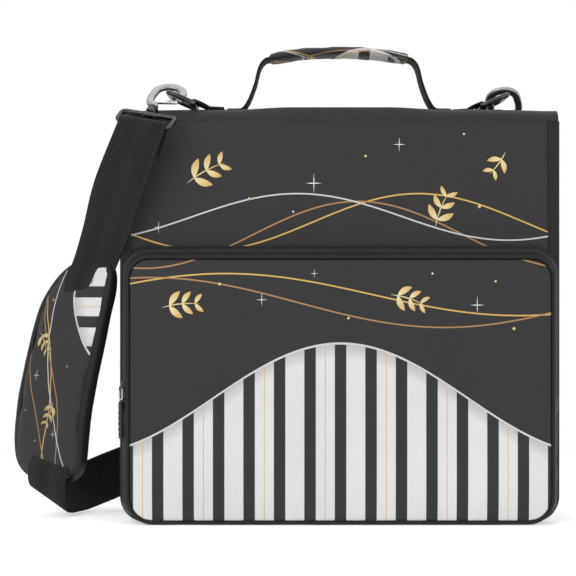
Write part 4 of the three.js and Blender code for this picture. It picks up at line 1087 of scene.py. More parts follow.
def ringPieces():
    # Half rings of round wire, a bowed cover plate, its rivets, the two hinge blades and the levers
    r = ringLook
    for node in ("ring_blade_front", "ring_blade_back"):
        keep(node, nickel)
    postY = 13 - r["wire"] / 2 + 0.3
    centre = r["seat"] - 9.3 - 1 - r["wire"] / 2 - math.sqrt(r["radius"] ** 2 - postY ** 2)
    turn = math.degrees(math.acos(postY / r["radius"]))
    for side, name in ((-1, "front"), (1, "back")):
        for k in range(3):
            x = (k - 1) * r["spacing"]
            curve = arc((x, 0, centre), (0, side, 0), (0, 0, 1), r["radius"], turn, -89.3, 40)
            post = np.linspace([x, side * postY, 310.8], [x, side * postY, curve[0, 2] + 0.8], 8)
            path = np.concatenate([post, curve])
            t = np.linspace(0, 1, len(path))
            tip = blunt(np.clip((t - 0.985) / 0.02, 0, 1), 2, 0.1)
            wire = disc(r["wire"] / 2, 20)[None] * tip[:, None, None]
            rest(carry(path, wire, (1, 0, 0), name=f"ring_{k + 1}_{name}_wire"), f"{name}_rings", "nickel", nickel,
                 f"ring_{k + 1}_{name}")
    # Plate: a shallow bow across and rounded ends
    x = np.linspace(-r["plateHalf"], r["plateHalf"], 140)
    tip = np.clip((r["plateHalf"] - np.abs(x)) / 8, 0, 1)
    half = r["plateWide"] * (0.55 + 0.45 * np.sin(tip * math.pi / 2))
    v = np.linspace(-1, 1, 21)
    y = half[:, None] * v[None]
    z = r["plateZ"] + 0.55 * (1 - (y / r["plateWide"]) ** 2)
    face = np.stack([np.broadcast_to(x[:, None], y.shape), y, z], -1)
    over = face + np.array([0, 0, 0.75])
    rest(shell("ring_cover_plate", over, face), "spine", "nickel", nickel, "ring_plate")
    for side, name in ((-1, "left"), (1, "right")):
        profile = np.array([(0.05, 315.25), (2.2, 315.25), (2.2, 304.7), (3.6, 304.68), (4.0, 304.4),
                            (3.9, 303.9), (3.1, 303.2), (1.6, 302.8), (0.05, 302.72)])
        a = np.linspace(0, 2 * math.pi, 24, endpoint=False)
        pts = np.stack([side * r["rivetAt"] + profile[:, :1] * np.cos(a), profile[:, :1] * np.sin(a),
                        np.broadcast_to(profile[:, 1:], (len(profile), 24))], -1)
        rest(grid(f"ring_rivet_{name}_turned", pts, closeV=True), "spine", "nickel", nickel, f"ring_rivet_{name}")
        t = np.linspace(0, 1, 26)
        x = side * (r["leverAt"] + r["leverLong"] * t)
        z = r["leverZ"] - 2.0 * np.clip((t - 0.72) / 0.28, 0, 1) ** 1.6
        narrow = np.sqrt(np.clip(1 - 0.75 * np.clip((t - 0.55) / 0.45, 0, 1) ** 3, 0.1, 1))
        half = 7.0 * narrow * (0.86 + 0.14 * np.cos(t * 5))
        y = half[:, None] * np.linspace(-1, 1, 13)[None]
        top = np.stack([np.broadcast_to(x[:, None], y.shape), y, z[:, None] + 0.55 - 0.35 * (y / 7) ** 2], -1)
        low = top - np.array([0, 0, 1.1])
        rest(shell(f"ring_lever_{name}_pressed", top, low), f"{name}_lever", "nickel", nickel, f"ring_lever_{name}")


ringPieces()
print("rings made")


handleLook = {
    "high": 368.0, "half": 76.0, "foot": 12.0, "thick": 2.2, "deep": 25.0, "grip": 110.0, "gripThick": 7.6,
    "gripDeep": 31.0, "bow": 5.5,
}


def handlePieces():
    # Webbing bow with boxed stitching at its feet, and a folded sleeve round the middle
    h = handleLook
    z0 = 320 + 0.3 + h["thick"] / 2
    half, grip, high = h["half"], h["grip"], h["high"]
    shoulder = grip / 2 + 3
    knots = [(grip / 2 - 2, high - h["bow"]), (shoulder, high - 7), (shoulder + 4, high - 12),
             (shoulder + 8, high - 26.5), (half - 4.5, z0 + 6.5), (half, z0 + 0.8), (half + 6, z0),
             (half + h["foot"], z0)]
    right = spline([(x, 0, z) for x, z in knots], 60)
    left = right[::-1] * np.array([-1, 1, 1])
    t = np.linspace(-1, 1, 40)[1:-1]
    over = np.stack([t * (grip / 2 - 2), 0 * t, high - h["bow"] * t * t], 1)
    path = np.concatenate([left, over, right])
    section = webbingProfile(h["deep"], h["thick"], 7, 0.16, 33)
    bow = carry(path, section, (0, 1, 0), name="handle_webbing_ribbed")
    rest(bow, "spine", "webbing", webbing, "handle_webbing")

    t = np.linspace(-1, 1, 90)
    sleevePath = np.stack([t * grip / 2, 0 * t, high - h["bow"] * t * t], 1)
    a = np.linspace(0, 2 * math.pi, 40, endpoint=False)
    end = blunt(t, 40, 0.35)[:, None]
    pinch = 0.9 + 0.1 * np.clip((1 - np.abs(t)) / 0.12, 0, 1)[:, None]
    run = sleevePath[:, :1]
    slant = run + h["gripDeep"] / 2 * np.sin(a)[None] * 0.7 + 6 * np.cos(a)[None]
    folds = 0.30 * ripple(run, a[None] * 6, 81, 6, 6.0) + 0.55 * ripple(slant * 1.1, 0 * slant, 82, 5, 3.6)
    c, s = np.cos(a)[None], np.sin(a)[None]
    squareS = np.sign(s) * np.abs(s) ** 0.6
    section = np.stack([(h["gripThick"] / 2 * end * pinch + folds * np.abs(c)) * c,
                        h["gripDeep"] / 2 * squareS * (0.96 + 0.04 * end)], -1)
    sleeve = carry(sleevePath, section, (0, 1, 0), name="handle_sleeve")
    lower(sleeve)
    rest(sleeve, "spine", "printed_cloth", gripPrint, "handle_grip")
    # Turned hems at the sleeve's two ends
    for side in (-1, 1):
        k = 2 if side < 0 else len(t) - 3
        ring = carry(sleevePath, section, (0, 1, 0))[k]
        centre = ring.mean(0)
        ring = evenly(centre + (ring - centre) * 1.01, 1.2, closed=True)[0]
        for q in range(4):
            ring = (np.roll(ring, 1, 0) + 2 * ring + np.roll(ring, -1, 0)) / 4
        hem = carry(ring, disc(0.45, 8), (1, 0, 0), True, f"handle_hem_{'left' if side < 0 else 'right'}")
        rest(hem, "spine", "printed_cloth", edgeTape)
    # Box stitches on both feet
    webbingTop = z0 + h["thick"] / 2 + 0.02
    strokes = []
    for side in (-1, 1):
        x0, x1, y0 = side * (half + 1.5), side * (half + h["foot"] - 1.5), h["deep"] / 2 - 2.0
        corners = [(x0, -y0), (x1, -y0), (x1, y0), (x0, y0), (x0, -y0), (x1, y0)]
        for a, b in zip(corners[:-1], corners[1:]):
            strokes.append(((*a, webbingTop), (*b, webbingTop), int(math.dist(a, b) / 3)))
    boxStitches("handle_foot_stitches", strokes)


handlePieces()
print("handle made")


hookLook = {
    "ringX": 113.0, "ringZ": 324.4, "offset": 8.0, "wire": 4.0, "deep": 22.0, "halfWide": 23.5, "tilt": 24.0,
    "corner": 6.0, "tabX": 104.0, "tabReach": 14.0, "tabWide": 38.0, "tabThick": 1.8, "hookAt": 10.5,
    "play": 6.6, "turn": 38.0, "lean": 16.0, "thick": 4.0, "band": 6.4, "half": 11.2, "off": 4.5, "low": 14.0,
    "high": 26.0, "knobLong": 8.0, "baseWide": 47.0, "baseHigh": 13.0, "baseWire": 4.0,
}


def ringAndTab(name, side):
    # D of bent round wire, and the webbing tab that is folded round its straight bar and sewn to the spine
    k = hookLook
    a = math.radians(k["tilt"])
    pivot = np.array([side * k["ringX"], side * k["offset"], k["ringZ"]])
    away = np.array([side * math.cos(a), 0, math.sin(a)])
    y = np.array([0, 1.0, 0])
    r = k["corner"]
    corner = pivot + away * (k["deep"] - r)
    foot = 1.5
    path = np.concatenate([
        arc(pivot + y * (k["halfWide"] - foot) + away * foot, -away, y, foot, 0, 90, 4),
        arc(corner + y * (k["halfWide"] - r), y, away, r, 0, 90, 9),
        arc(corner - y * (k["halfWide"] - r), away, -y, r, 0, 90, 9),
        arc(pivot - y * (k["halfWide"] - foot) + away * foot, -y, -away, foot, 0, 90, 4)])
    path = evenly(path, 2.0, closed=True)[0]
    normal = unit(np.cross(y, away))
    wire = carry(path, disc(k["wire"] / 2, 18), normal, True, f"d_ring_{name}_wire")
    rest(wire, f"{name}_d_ring", "gunmetal", gunmetal, f"d_ring_{name}")
    inner = k["wire"] / 2 + 0.3 + k["tabThick"] / 2
    low = 320 + 0.3 + k["tabThick"] / 2
    inwards = np.array([-side, 0, 0.0])
    loop = arc(pivot, inwards, (0, 0, 1), inner, 90, 262, 16)
    end = np.array([side * (k["tabX"] - k["tabReach"]), pivot[1], low])
    fold = np.array([side * (k["tabX"] - 3), pivot[1], low + 0.6])
    strip = np.concatenate([np.linspace(end, fold, 8)[:-1],
                            spline(np.array([fold, (fold + loop[0]) / 2 + [0, 0, 0.5], loop[0]]), 8)[:-1], loop])
    section = webbingProfile(k["tabWide"], k["tabThick"], 9, 0.14, 37)
    rest(carry(strip, section, (0, 1, 0), name=f"d_ring_tab_{name}_webbing"), "spine", "webbing", webbing,
         f"d_ring_tab_{name}")
    strokes = []
    for x in (0.18, 0.75):
        at = end + (fold - end) * x + np.array([0, 0, k["tabThick"] / 2 + 0.05])
        reach = np.array([0, k["tabWide"] / 2 - 2.5, 0])
        strokes.append((at - reach, at + reach, 11))
    boxStitches(f"d_ring_tab_{name}_stitches", strokes)
    return pivot, away


def hookAxes(side, ahead, ring):
    # The hook's own axes: u up the hook, v across it, w out of its face, and its swivel point
    k = hookLook
    turn, lean = math.radians(k["turn"]), math.radians(k["lean"])
    x = np.array([1.0, 0, 0])
    rise = np.array([0, ahead * math.cos(turn), math.sin(turn)])
    u = rise * math.cos(lean) - x * side * math.sin(lean)
    w = np.array([0, -ahead * math.sin(turn), math.cos(turn)])
    v = unit(np.cross(u, w))
    if v[0] * side > 0:
        v = -v
    face = unit(np.cross(v, u))
    pivot, away = ring
    reach = k["high"] + k["half"] - k["band"] / 2 - k["play"]
    corner = pivot + away * k["deep"] - np.array([0, ahead * k["hookAt"], 0])
    return {"u": u, "v": v, "w": face, "origin": corner - u * reach - v * k["off"]}


def hookPieces(name, side, ahead, ring):
    # Cast crook with rounded edges and a pinched tip, the spring gate, the swivel knob and the strap's loop
    k = hookLook
    f = hookAxes(side, ahead, ring)

    def at(v, u, w=0.0):
        return f["origin"] + f["v"] * v + f["u"] * u + f["w"] * w

    left, right = k["off"] - k["half"], k["off"] + k["half"]
    stem = [at(0, k["knobLong"] / 2 - 1), at(0, k["knobLong"] / 2 + 3), at(left * 0.7, k["low"] - 4),
            at(left, k["low"] + 3), at(left, k["high"] - 1)]
    arch = arc(at(k["off"], k["high"]), f["v"], f["u"], k["half"], 180, 0, 33)
    tip = np.array([at(right, k["high"] - 5), at(right - 0.4, k["high"] - 8)])
    path = np.concatenate([spline(stem, 26)[:-1], arch, np.linspace(arch[-1], tip[0], 6)[1:],
                           np.linspace(tip[0], tip[1], 4)[1:]])
    t = np.linspace(0, 1, len(path))
    swell = 0.82 + 0.18 * np.sin(np.clip(t * 1.25, 0, 1) * math.pi / 2)
    wide = k["band"] * swell * blunt(np.clip((t - 0.97) / 0.032, 0, 1), 2, 0.25)
    thick = k["thick"] * blunt(np.clip((t - 0.975) / 0.03, 0, 1), 2, 0.3)
    crook = carry(path, barOf(wide, thick, 0.34, 5), f["w"], name=f"hook_{name}_crook")
    rest(crook, f"{name}_hook", "cast_hook", castHook, f"hook_{name}")
    end = k["knobLong"] / 2
    profile = np.array([(0.1, -end), (3.2, -end), (4.0, 0.7 - end), (4.2, 2 - end), (3.7, -0.6), (3.7, 0.3),
                        (4.2, 1.4), (4.15, end - 1.0), (3.4, end), (0.1, end)])[..., None]
    a = np.linspace(0, 2 * math.pi, 28, endpoint=False)
    about = np.cos(a)[:, None] * f["v"] + np.sin(a)[:, None] * f["w"]
    knob = f["origin"] + profile[:, :1] * about + profile[:, 1:] * f["u"]
    rest(grid(f"hook_{name}_knob", knob, closeV=True), f"{name}_hook", "gunmetal", gunmetal)
    gateFrom = at(left + k["band"] * 1.15, k["low"] - 1.5)
    gateTo = at(right, k["high"] - 8 - 0.3 * 6)
    across = unit(gateTo - gateFrom)
    gatePath = np.linspace(gateFrom - across * 2.2, gateTo, 16)
    size = blunt(np.linspace(-1, 1, 16), 12, 0.3)
    gate = carry(gatePath, barOf(2.4 * size, 2.6 * size, 0.36, 4), f["w"], name=f"hook_gate_{name}_bar")
    rest(gate, f"{name}_gate", "nickel", nickel, f"hook_gate_{name}")
    b = k["baseWide"] / 2 - k["baseWire"] / 2
    topU = -end - 0.3 - k["baseWire"] / 2
    r = 3.0
    h = k["baseHigh"]
    loop = np.concatenate([
        arc(at(b - r, topU - r), f["v"], f["u"], r, 0, 90, 7),
        arc(at(r - b, topU - r), f["v"], f["u"], r, 90, 180, 7),
        arc(at(r - b, topU - h + r), f["v"], f["u"], r, 180, 270, 7),
        arc(at(b - r, topU - h + r), f["v"], f["u"], r, 270, 360, 7)])
    loop = evenly(loop, 1.6, closed=True)[0]
    wire = carry(loop, disc(k["baseWire"] / 2, 16), f["w"], True, f"hook_base_{name}_loop")
    rest(wire, f"{name}_base", "gunmetal", gunmetal, f"hook_base_{name}")
    collar = np.linspace(at(0, topU - 3.3), at(0, topU + k["baseWire"] / 2 - 0.05), 14)
    size = blunt(np.linspace(-1, 1, 14), 6, 0.25)
    collar = carry(collar, barOf(11.5 * size, 4.7 * size, 0.4, 5), f["w"], name=f"hook_base_{name}_collar")
    rest(collar, f"{name}_base", "gunmetal", gunmetal)
    return f, at(0, topU - h)


leftHook = hookPieces("left", -1, 1, ringAndTab("left", -1))
rightHook = hookPieces("right", 1, -1, ringAndTab("right", 1))
print("hooks made")


strapLook = {"wide": 38.0, "thick": 1.8, "ribs": 19, "ribHigh": 0.22, "points": 300, "stiff": 26.0,
             "cut": np.array([-212.0, -15.0, 127.0])}
# Chosen points of the strap's two edges, left edge first, from the left hook to the right one
strapEdges = np.array([
    [[-189, -44, 262], [-152, -53, 251]], [[-199, -31, 228], [-164, -44, 217]],
    [[-208, -19, 203], [-174, -31, 195]],
    [[-215.4, -15.7, 186], [-182.4, -33, 178]], [[-217, -8.6, 171], [-185, -27.6, 163]],
    [[-228, -5, 130], [-196, -26, 124]],
    [[-237, -2, 88], [-205, -23, 83]], [[-239.5, 2.2, 58], [-208.5, -20.8, 51]],
    [[-246, -3, 38], [-214, -22, 27]], [[-245, 3, 24], [-214, -13, 6]],
    [[-231, 21, 28], [-204, 8, 3]], [[-200, 40, 42], [-188, 37, 6]], [[-168, 45, 54], [-160, 45, 17]],
    [[-92, 47, 80], [-76, 47, 46]], [[-13, 49, 118], [7, 49, 86]], [[50, 50, 168], [80, 50, 145]],
    [[84, 50, 222], [119, 50, 208]],
], float)


def strapEnd(hook, following, outward, mirrored):
    # The strap's end: down behind the bar of the hook's loop, round it and on to the front
    axes, bar = hook
    across = -axes["v"] if mirrored else axes["v"]
    radius = hookLook["baseWire"] / 2 + 0.3 + strapLook["thick"] / 2
    down = following - bar
    down = unit(down - across * down.dot(across))
    face = unit(np.cross(down, across))
    if face[1] * outward < 0:
        face = -face
    back = np.linspace(bar + down * 22 - face * radius, bar - face * radius + down * 1.5, 10)
    line = np.concatenate([back, arc(bar, face, down, radius, 180, 360, 17)])
    half = strapLook["wide"] / 2
    return np.stack([line - across * half, line + across * half], 1)


def ribbon(name, edges, thick, ribs, ribHigh, columns):
    # Webbing between two edges: raised ribs run along it on both faces
    middle = edges.mean(1)
    normal = unit(np.cross(np.gradient(middle, axis=0), edges[:, 1] - edges[:, 0]))
    v = np.linspace(0, 1, columns)
    flat = edges[:, :1] * (1 - v)[None, :, None] + edges[:, 1:] * v[None, :, None]
    rib = ribHigh * np.cos((2 * v - 1) * math.pi * ribs)
    edge = blunt(2 * v - 1, 30, 0.25)
    high = ((thick / 2 - ribHigh) * edge + rib * edge)[None, :, None] * normal[:, None]
    return shell(name, flat + high, flat - high)


def strapPieces():
    # Webbing from the left hook down through the pad, round behind the binder and up to the right hook
    free = strapEdges
    first = strapEnd(leftHook, free[0].mean(0), -1, False)
    last = strapEnd(rightHook, free[-1].mean(0), 1, True)[::-1]
    knots = np.concatenate([first[-1:], free, last[:1]])
    n = strapLook["points"]
    run = np.stack([spline(knots[:, 0], n), spline(knots[:, 1], n)], 1)
    edges = np.concatenate([first[:-1], run, last[1:]])
    # Cut inside the pad into two runs, one for each D ring that the strap hangs from
    cut = int(np.argmin(np.linalg.norm(edges.mean(1) - strapLook["cut"], axis=1)))
    runs = (("front", edges[:cut + 1], edges[26:40], "left_d_ring", leftHook[1], edges[95].mean(0)),
            ("rear", edges[cut:], edges[-40:-26], "right_d_ring", rightHook[1], edges[-95].mean(0)))
    for name, rows, sewn, ring, bar, free in runs:
        follow = (ring, "spine", tuple((bar + unit(free - bar) * strapLook["stiff"]) * mm), tuple(free * mm))
        strap = ribbon(f"shoulder_strap_{name}", rows, strapLook["thick"], strapLook["ribs"],
                       strapLook["ribHigh"], 97)
        rest(strap, follow, "webbing", webbing, "shoulder_strap")
        # Box stitches where the end is sewn back below the hook
        middle = sewn.mean(1)
        normal = unit(np.cross(np.gradient(middle, axis=0), sewn[:, 1] - sewn[:, 0]))
        lines = []
        for u0, u1 in ((0.1, 0.1), (0.9, 0.9), (0.1, 0.9), (0.9, 0.1)):
            u = np.linspace(u0, u1, len(sewn))[:, None]
            for face in (-1, 1):
                line = sewn[:, 0] * (1 - u) + sewn[:, 1] * u + normal * face * (strapLook["thick"] / 2 + 0.1)
                lines.append((line, normal * face))
        stitches = rowOf(f"shoulder_strap_{name}_stitches", bead(2.3, 0.55, 0.45), 3.4, lines)
        rest(stitches, follow, "webbing", thread)
    total = float(np.linalg.norm(np.diff(run.mean(1), axis=0), axis=1).sum())
    print(f"strap from hook to hook: {total:.0f} mm")
    return edges


strapRows = strapPieces()

padLook = {"wide": 76.0, "thick": 12.0, "inset": 0.6, "cap": 3.0, "voxel": 3.2}
padLine = np.array([[-191, -16, 205], [-207, -12, 166], [-216, -11, 129], [-223, -8, 97], [-227, -5, 70],
                    [-228, -3, 46], [-227, 2, 26]], float)
padFace = np.array([-0.616, -0.788, 0.0])


def swollen(obj, pressure, cap, voxel):
    # Cloth simulation: the closed form is remeshed, blown up from inside with no gravity,
    # and kept within cap of its start
    remesh = obj.modifiers.new("remesh", "REMESH")
    remesh.mode = "VOXEL"
    remesh.voxel_size = voxel * mm
    applied(obj, remesh)
    before = readRows(obj.data.vertices, "co")
    sim = obj.modifiers.new("cloth", "CLOTH")
    s = sim.settings
    s.use_pressure = True
    s.uniform_pressure_force = pressure
    s.effector_weights.gravity = 0.0
    s.tension_stiffness = s.compression_stiffness = 22.0
    s.bending_stiffness = 0.6
    s.quality = 6
    sim.collision_settings.use_collision = False
    sim.collision_settings.use_self_collision = False
    for step in range(1, 17):
        bpy.context.scene.frame_set(step)
    dressed = obj.evaluated_get(bpy.context.evaluated_depsgraph_get())
    after = readRows(dressed.data.vertices, "co")
    obj.modifiers.remove(sim)
    bpy.context.scene.frame_set(1)
    move = after - before
    far = np.linalg.norm(move, axis=1, keepdims=True)
    move *= np.minimum(1, cap * mm / np.maximum(far, 1e-9))
    obj.data.vertices.foreach_set("co", (before + move).astype(np.float32).ravel())
    obj.data.update()
    obj.data.polygons.foreach_set("use_smooth", np.ones(len(obj.data.polygons), bool))
    return obj


def padPieces():
    # Cushion bent along its line: face and back full, with rounded ends and a bound edge
    p = padLook
    across = unit(np.cross(padFace, [0, 0, 1.0]))
    across = -across if across[0] < 0 else across
    t = np.linspace(0, 1, 90)
    c = spline(padLine, 90)
    s = np.abs(2 * t - 1)
    taper = blunt(s, 7, 0.02)
    half = (p["wide"] / 2 - 2 * s * s) * taper - p["inset"]
    thickAt = (p["thick"] / 2 - 1.0) * blunt(s, 9, 0.05)
    v = np.linspace(-1, 1, 31)
    crown = np.clip(1 - np.abs(v) ** 5, 0, 1) ** 0.6
    side = 0.72 + 0.28 * crown
    high = thickAt[:, None] * side[None]
    face = c[:, None] + across * (half[:, None] * v[None])[..., None] + padFace * high[..., None]
    back = c[:, None] + across * (half[:, None] * v[None])[..., None] - padFace * high[..., None]
    cushion = shell("shoulder_pad_cushion", face, back)
    swollen(cushion, 3.2, p["cap"], p["voxel"])
    mesh = cushion.data
    co = readRows(mesh.vertices, "co") / mm
    # Wrinkles: shallow creases across the face, strongest where the surface faces straight out
    a = co @ across
    crease = 0.55 * ripple(a * 0.5, co[:, 2] * 1.5, 91, 6, 13.0) + 0.25 * ripple(a, co[:, 2], 92, 5, 26.0)
    lift = readRows(mesh.vertex_normals, "vector")
    facing = np.abs(lift @ padFace) ** 2
    co = co + lift * (crease * facing)[:, None] * 0.8
    co[:, 2] = np.maximum(co[:, 2], 1.0)
    mesh.vertices.foreach_set("co", (co * mm).astype(np.float32).ravel())
    mesh.update()
    normals = readRows(mesh.polygons, "normal")
    rest(cushion, "pad", "printed_cloth", [padPrint, gusset], "shoulder_pad")
    printed = normals @ padFace > 0.55
    mesh.polygons.foreach_set("material_index", np.where(printed, 0, 1).astype(np.int32))
    lower(cushion)
    # Binding: one tape folded round the side, a few millimetres of it on the face and on the back
    loopT = np.concatenate([np.linspace(0, 1, 80), np.linspace(1, 0, 80)])
    middle = np.stack([np.interp(loopT, t, c[:, q]) for q in range(3)], 1)
    sideSign = np.concatenate([-np.ones(80), np.ones(80)])
    h = np.interp(loopT, t, half)
    line = middle + across * (sideSign * h)[:, None]
    deep = np.interp(loopT, t, thickAt)[:, None]
    line, deep = evenly(line, 2.0, deep, closed=True)
    for q in range(3):
        line = (np.roll(line, 1, 0) + 2 * line + np.roll(line, -1, 0)) / 4
    run = np.arange(len(line)) * 2.0
    wavy = 0.22 * ripple(run, 0 * run, 93, 6, 6.0)[:, None]
    hF = deep * 0.86 + wavy
    lap = 5.2 + 0.5 * ripple(run, 0 * run, 94, 5, 9.0)[:, None]
    # Its profile: out of the side, and up towards the face, as shares of the lap and of the height plus a step
    o = 0 * hF
    outs = np.concatenate([-lap, 0.5 - lap, 2.6 - lap, o + 0.2, o + 1.5, o + 1.9 + wavy, o + 1.5, o + 0.2,
                           2.6 - lap, 0.5 - lap, -lap, o - 1.2, o - 0.9, o - 1.2], 1)
    faces = np.concatenate([hF + 0.1, hF + 0.9, hF + 1.2, hF + 0.8, hF - 0.4, o, 0.4 - hF,
                            -hF - 0.8, -hF - 1.2, -hF - 0.9, -hF - 0.1, 0.9 - hF, o, hF - 0.9], 1)
    turn = 1.0 if np.sum(np.cross(padFace, along(line, True)) * (line - c.mean(0))) > 0 else -1.0
    section = np.stack([outs * turn, faces], -1)
    tape = carry(line, section, padFace, True, "shoulder_pad_binding")
    lower(tape)
    rest(tape, "pad", "edge_tape", edgeTape)
    return across, c


padAcross, padCentres = padPieces()


adjusterLook = {"half": 21.6, "reach": 8.4, "deep": 3.1, "bar": (2.6, 2.0), "rail": (3.0, 3.6)}


def adjusterPieces():
    # Moulded ladder slide: three bars between two side rails, the strap woven over the middle one
    a = adjusterLook
    low, high = (np.array(q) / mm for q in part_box("strap_adjuster"))
    centre = (low + high) / 2
    k = int(np.argmin(np.linalg.norm(strapRows.mean(1) - centre, axis=1)))
    go = unit(strapRows[k + 3].mean(0) - strapRows[k - 3].mean(0))
    side = unit(strapRows[k, 1] - strapRows[k, 0])
    side = unit(side - go * side.dot(go)) * a["half"]
    out = unit(np.cross(go, side))
    out = out if out[1] > 0 else -out
    outline = softBox(1.0, 1.0, 0.42, 5)[None]
    bars = ((-a["reach"], -a["deep"]), (0.0, a["deep"] * 0.9), (a["reach"], -a["deep"]))
    for b, (place, lift) in enumerate(bars):
        middle = centre + go * place + out * lift
        t = np.linspace(-1, 1, 40)
        bar = np.linspace(middle - side, middle + side, 40) - (np.abs(t) ** 10)[:, None] * lift * out
        section = np.repeat(outline * np.array(a["bar"]), 40, 0)
        rest(carry(bar, section, go, name=f"strap_adjuster_bar_{b + 1}"), "adjuster", "gunmetal", gunmetal,
             *(("strap_adjuster",) if b == 0 else ()))
    for end, name in ((-1, "left"), (1, "right")):
        rail = np.linspace(centre + side * end - go * (a["reach"] + 1.6),
                           centre + side * end + go * (a["reach"] + 1.6), 24)
        size = blunt(np.linspace(-1, 1, 24), 12, 0.25)
        section = outline * (np.array(a["rail"]) * size[:, None])[:, None]
        rest(carry(rail, section, out, name=f"strap_adjuster_rail_{name}"), "adjuster", "gunmetal", gunmetal)


adjusterPieces()
print("strap, pad and adjuster made")


motifs = {"lift": 0.16}


def onSurface(xz, lift, surface):
    # Flat points (x, z) laid just above a surface
    return np.stack([xz[..., 0], surface(xz[..., 0], xz[..., 1]) - lift, xz[..., 1]], -1)


def leaf(x, z, length, wide, turn, bend):
    # Pointed leaf: half width is sine of the way along it to 0.8, and its rib is a parabola
    t = np.linspace(0.0, 1.0, 22)
    half = wide / 2 * np.sin(math.pi * t) ** 0.8 + 0.05
    v = np.linspace(-1, 1, 7)
    px = t[:, None] * length + 0 * v[None]
    pz = bend * length * (4 * t * (1 - t))[:, None] + half[:, None] * v[None]
    c, s = math.cos(turn), math.sin(turn)
    return np.stack([x + px * c - pz * s, z + px * s + pz * c], -1)


def star(x, z, size):
    # Four-point star: radius falls with the sine of twice the angle
    a = np.linspace(0, 2 * math.pi, 33)
    edge = size * (0.09 + 0.91 * (1 - np.abs(np.sin(2 * a))) ** 3.2)
    r = np.linspace(0.02, 1, 4)
    return np.stack([x + r[None] * (edge * np.cos(a))[:, None],
                     z + r[None] * (edge * np.sin(a) * 1.25)[:, None]], -1)


def dot(x, z, size):
    # Small round spot
    a = np.linspace(0, 2 * math.pi, 17)
    r = np.linspace(0.03, 1, 2)
    return np.stack([x + size * r[None] * np.cos(a)[:, None], z + size * r[None] * np.sin(a)[:, None]], -1)


def inked(name, shapes, ink, body, place, *surface):
    # All motifs of one colour in one piece: thin skins laid on the cloth
    points, sets, uvs, at = [], [], [], 0
    for shape in shapes:
        top = place(shape, motifs["lift"], *surface)
        low = place(shape, motifs["lift"] - 0.1, *surface)
        nu, nv = shape.shape[:2]
        faces = np.concatenate(sheetFaces(nu, nv)[2:])
        grade = np.repeat(np.linspace(0, 1, nu), 2 * nv)
        one = np.concatenate([top, low[:, ::-1]], 1).reshape(-1, 3)
        points.append(one)
        sets.append(faces + at)
        uvs.append(np.stack([grade[faces.ravel()], np.zeros(faces.size)], 1))
        at += len(one)
    obj = build(name, np.concatenate(points), [np.concatenate(sets)], np.concatenate(uvs))
    rest(obj, body, "printed_cloth", ink)
    return obj


def coverY(x, z):
    # Front face of the cover's cloth
    return coverDepth(-1, binder["face"] - 0.15, covers["pucker"], 11)(x, z)


def spray(x, z, turn, size, count):
    # Leaves in pairs along a stem, smaller towards its tip
    long = size * (0.9 + 0.35 * count)
    bend = 0.05
    shapes = [leaf(x, z, long, 0.9, turn, bend)]
    for k in range(count):
        t = (k + 0.6) / count
        off = 4 * bend * long * t * (1 - t)
        px = x + long * t * math.cos(turn) - off * math.sin(turn)
        pz = z + long * t * math.sin(turn) + off * math.cos(turn)
        one = size * (1.0 - 0.45 * t)
        for s in (-1, 1):
            shapes.append(leaf(px, pz, one, one * 0.36, turn + s * 0.85, s * 0.06))
    return shapes


coverGold = (spray(-118, 262, 0.5, 17, 3) + spray(74, 228, 1.2, 15, 3) + spray(128, 286, -2.2, 13, 2)
             + [dot(-70, 250, 1.1), dot(20, 283, 1.0), dot(108, 244, 1.3)])
coverSilver = [star(-20, 262, 6.5), star(46, 292, 5.0), star(-140, 228, 4.0), dot(-36, 240, 0.8), dot(96, 300, 0.8)]
pocketGold = (spray(-136, 166, 0.1, 15, 3) + spray(38, 176, -0.3, 14, 3)
              + [dot(-92, 184, 1.2), dot(6, 158, 1.0), dot(132, 150, 1.2), dot(118, 186, 0.9)])
pocketSilver = [star(-60, 172, 4.5), star(104, 168, 5.5), star(-20, 192, 3.2), dot(70, 192, 0.8)]
inked("cover_gold_motifs", coverGold, goldInk, "front_cover", onSurface, coverY)
inked("cover_silver_motifs", coverSilver, silverInk, "front_cover", onSurface, coverY)
inked("pocket_gold_motifs", pocketGold, goldInk, "front_cover", onSurface, pocketFaceY)
inked("pocket_silver_motifs", pocketSilver, silverInk, "front_cover", onSurface, pocketFaceY)


def padMotifs():
    # The pad's motifs start flat in front of it and are laid on its face by a shrinkwrap
    p = padLook

    def inFront(shape, lift):
        u, v = shape[..., 0], shape[..., 1]
        c = np.stack([np.interp(v, padCentres[::-1, 2], padCentres[::-1, q]) for q in (0, 1)], -1)
        flat = np.stack([c[..., 0], c[..., 1], v], -1) + padAcross * u[..., None]
        return flat + padFace * (p["thick"] / 2 + 3 + lift)

    gold = (spray(-24, 146, -0.9, 10, 3) + spray(6, 92, -1.9, 10, 3)
            + [dot(-20, 172, 1.0), dot(-10, 60, 1.0), dot(14, 120, 0.8)])
    silver = [star(-18, 112, 4.0), star(10, 66, 3.2), dot(-24, 84, 0.7)]
    for name, shapes, ink in (("pad_gold_motifs", gold, goldInk), ("pad_silver_motifs", silver, silverInk)):
        obj = inked(name, shapes, ink, "pad", inFront)
        wrap = obj.modifiers.new("onto_pad", "SHRINKWRAP")
        wrap.target = bpy.data.objects["shoulder_pad_cushion"]
        wrap.wrap_method = "NEAREST_SURFACEPOINT"
        wrap.offset = 0.0003
        applied(obj, wrap)


padMotifs()
print("motifs made")


studio = {
    "floor": "#fdfdfd", "world": 0.55, "key": 9.0, "fill": 5.0, "top": 5.0, "glow": 0.42,
    "lens": 100.0, "sensor": 36.0, "camera": (-0.040, -1.272, 0.181), "aim": (-0.02, 0.0, 0.17),
}


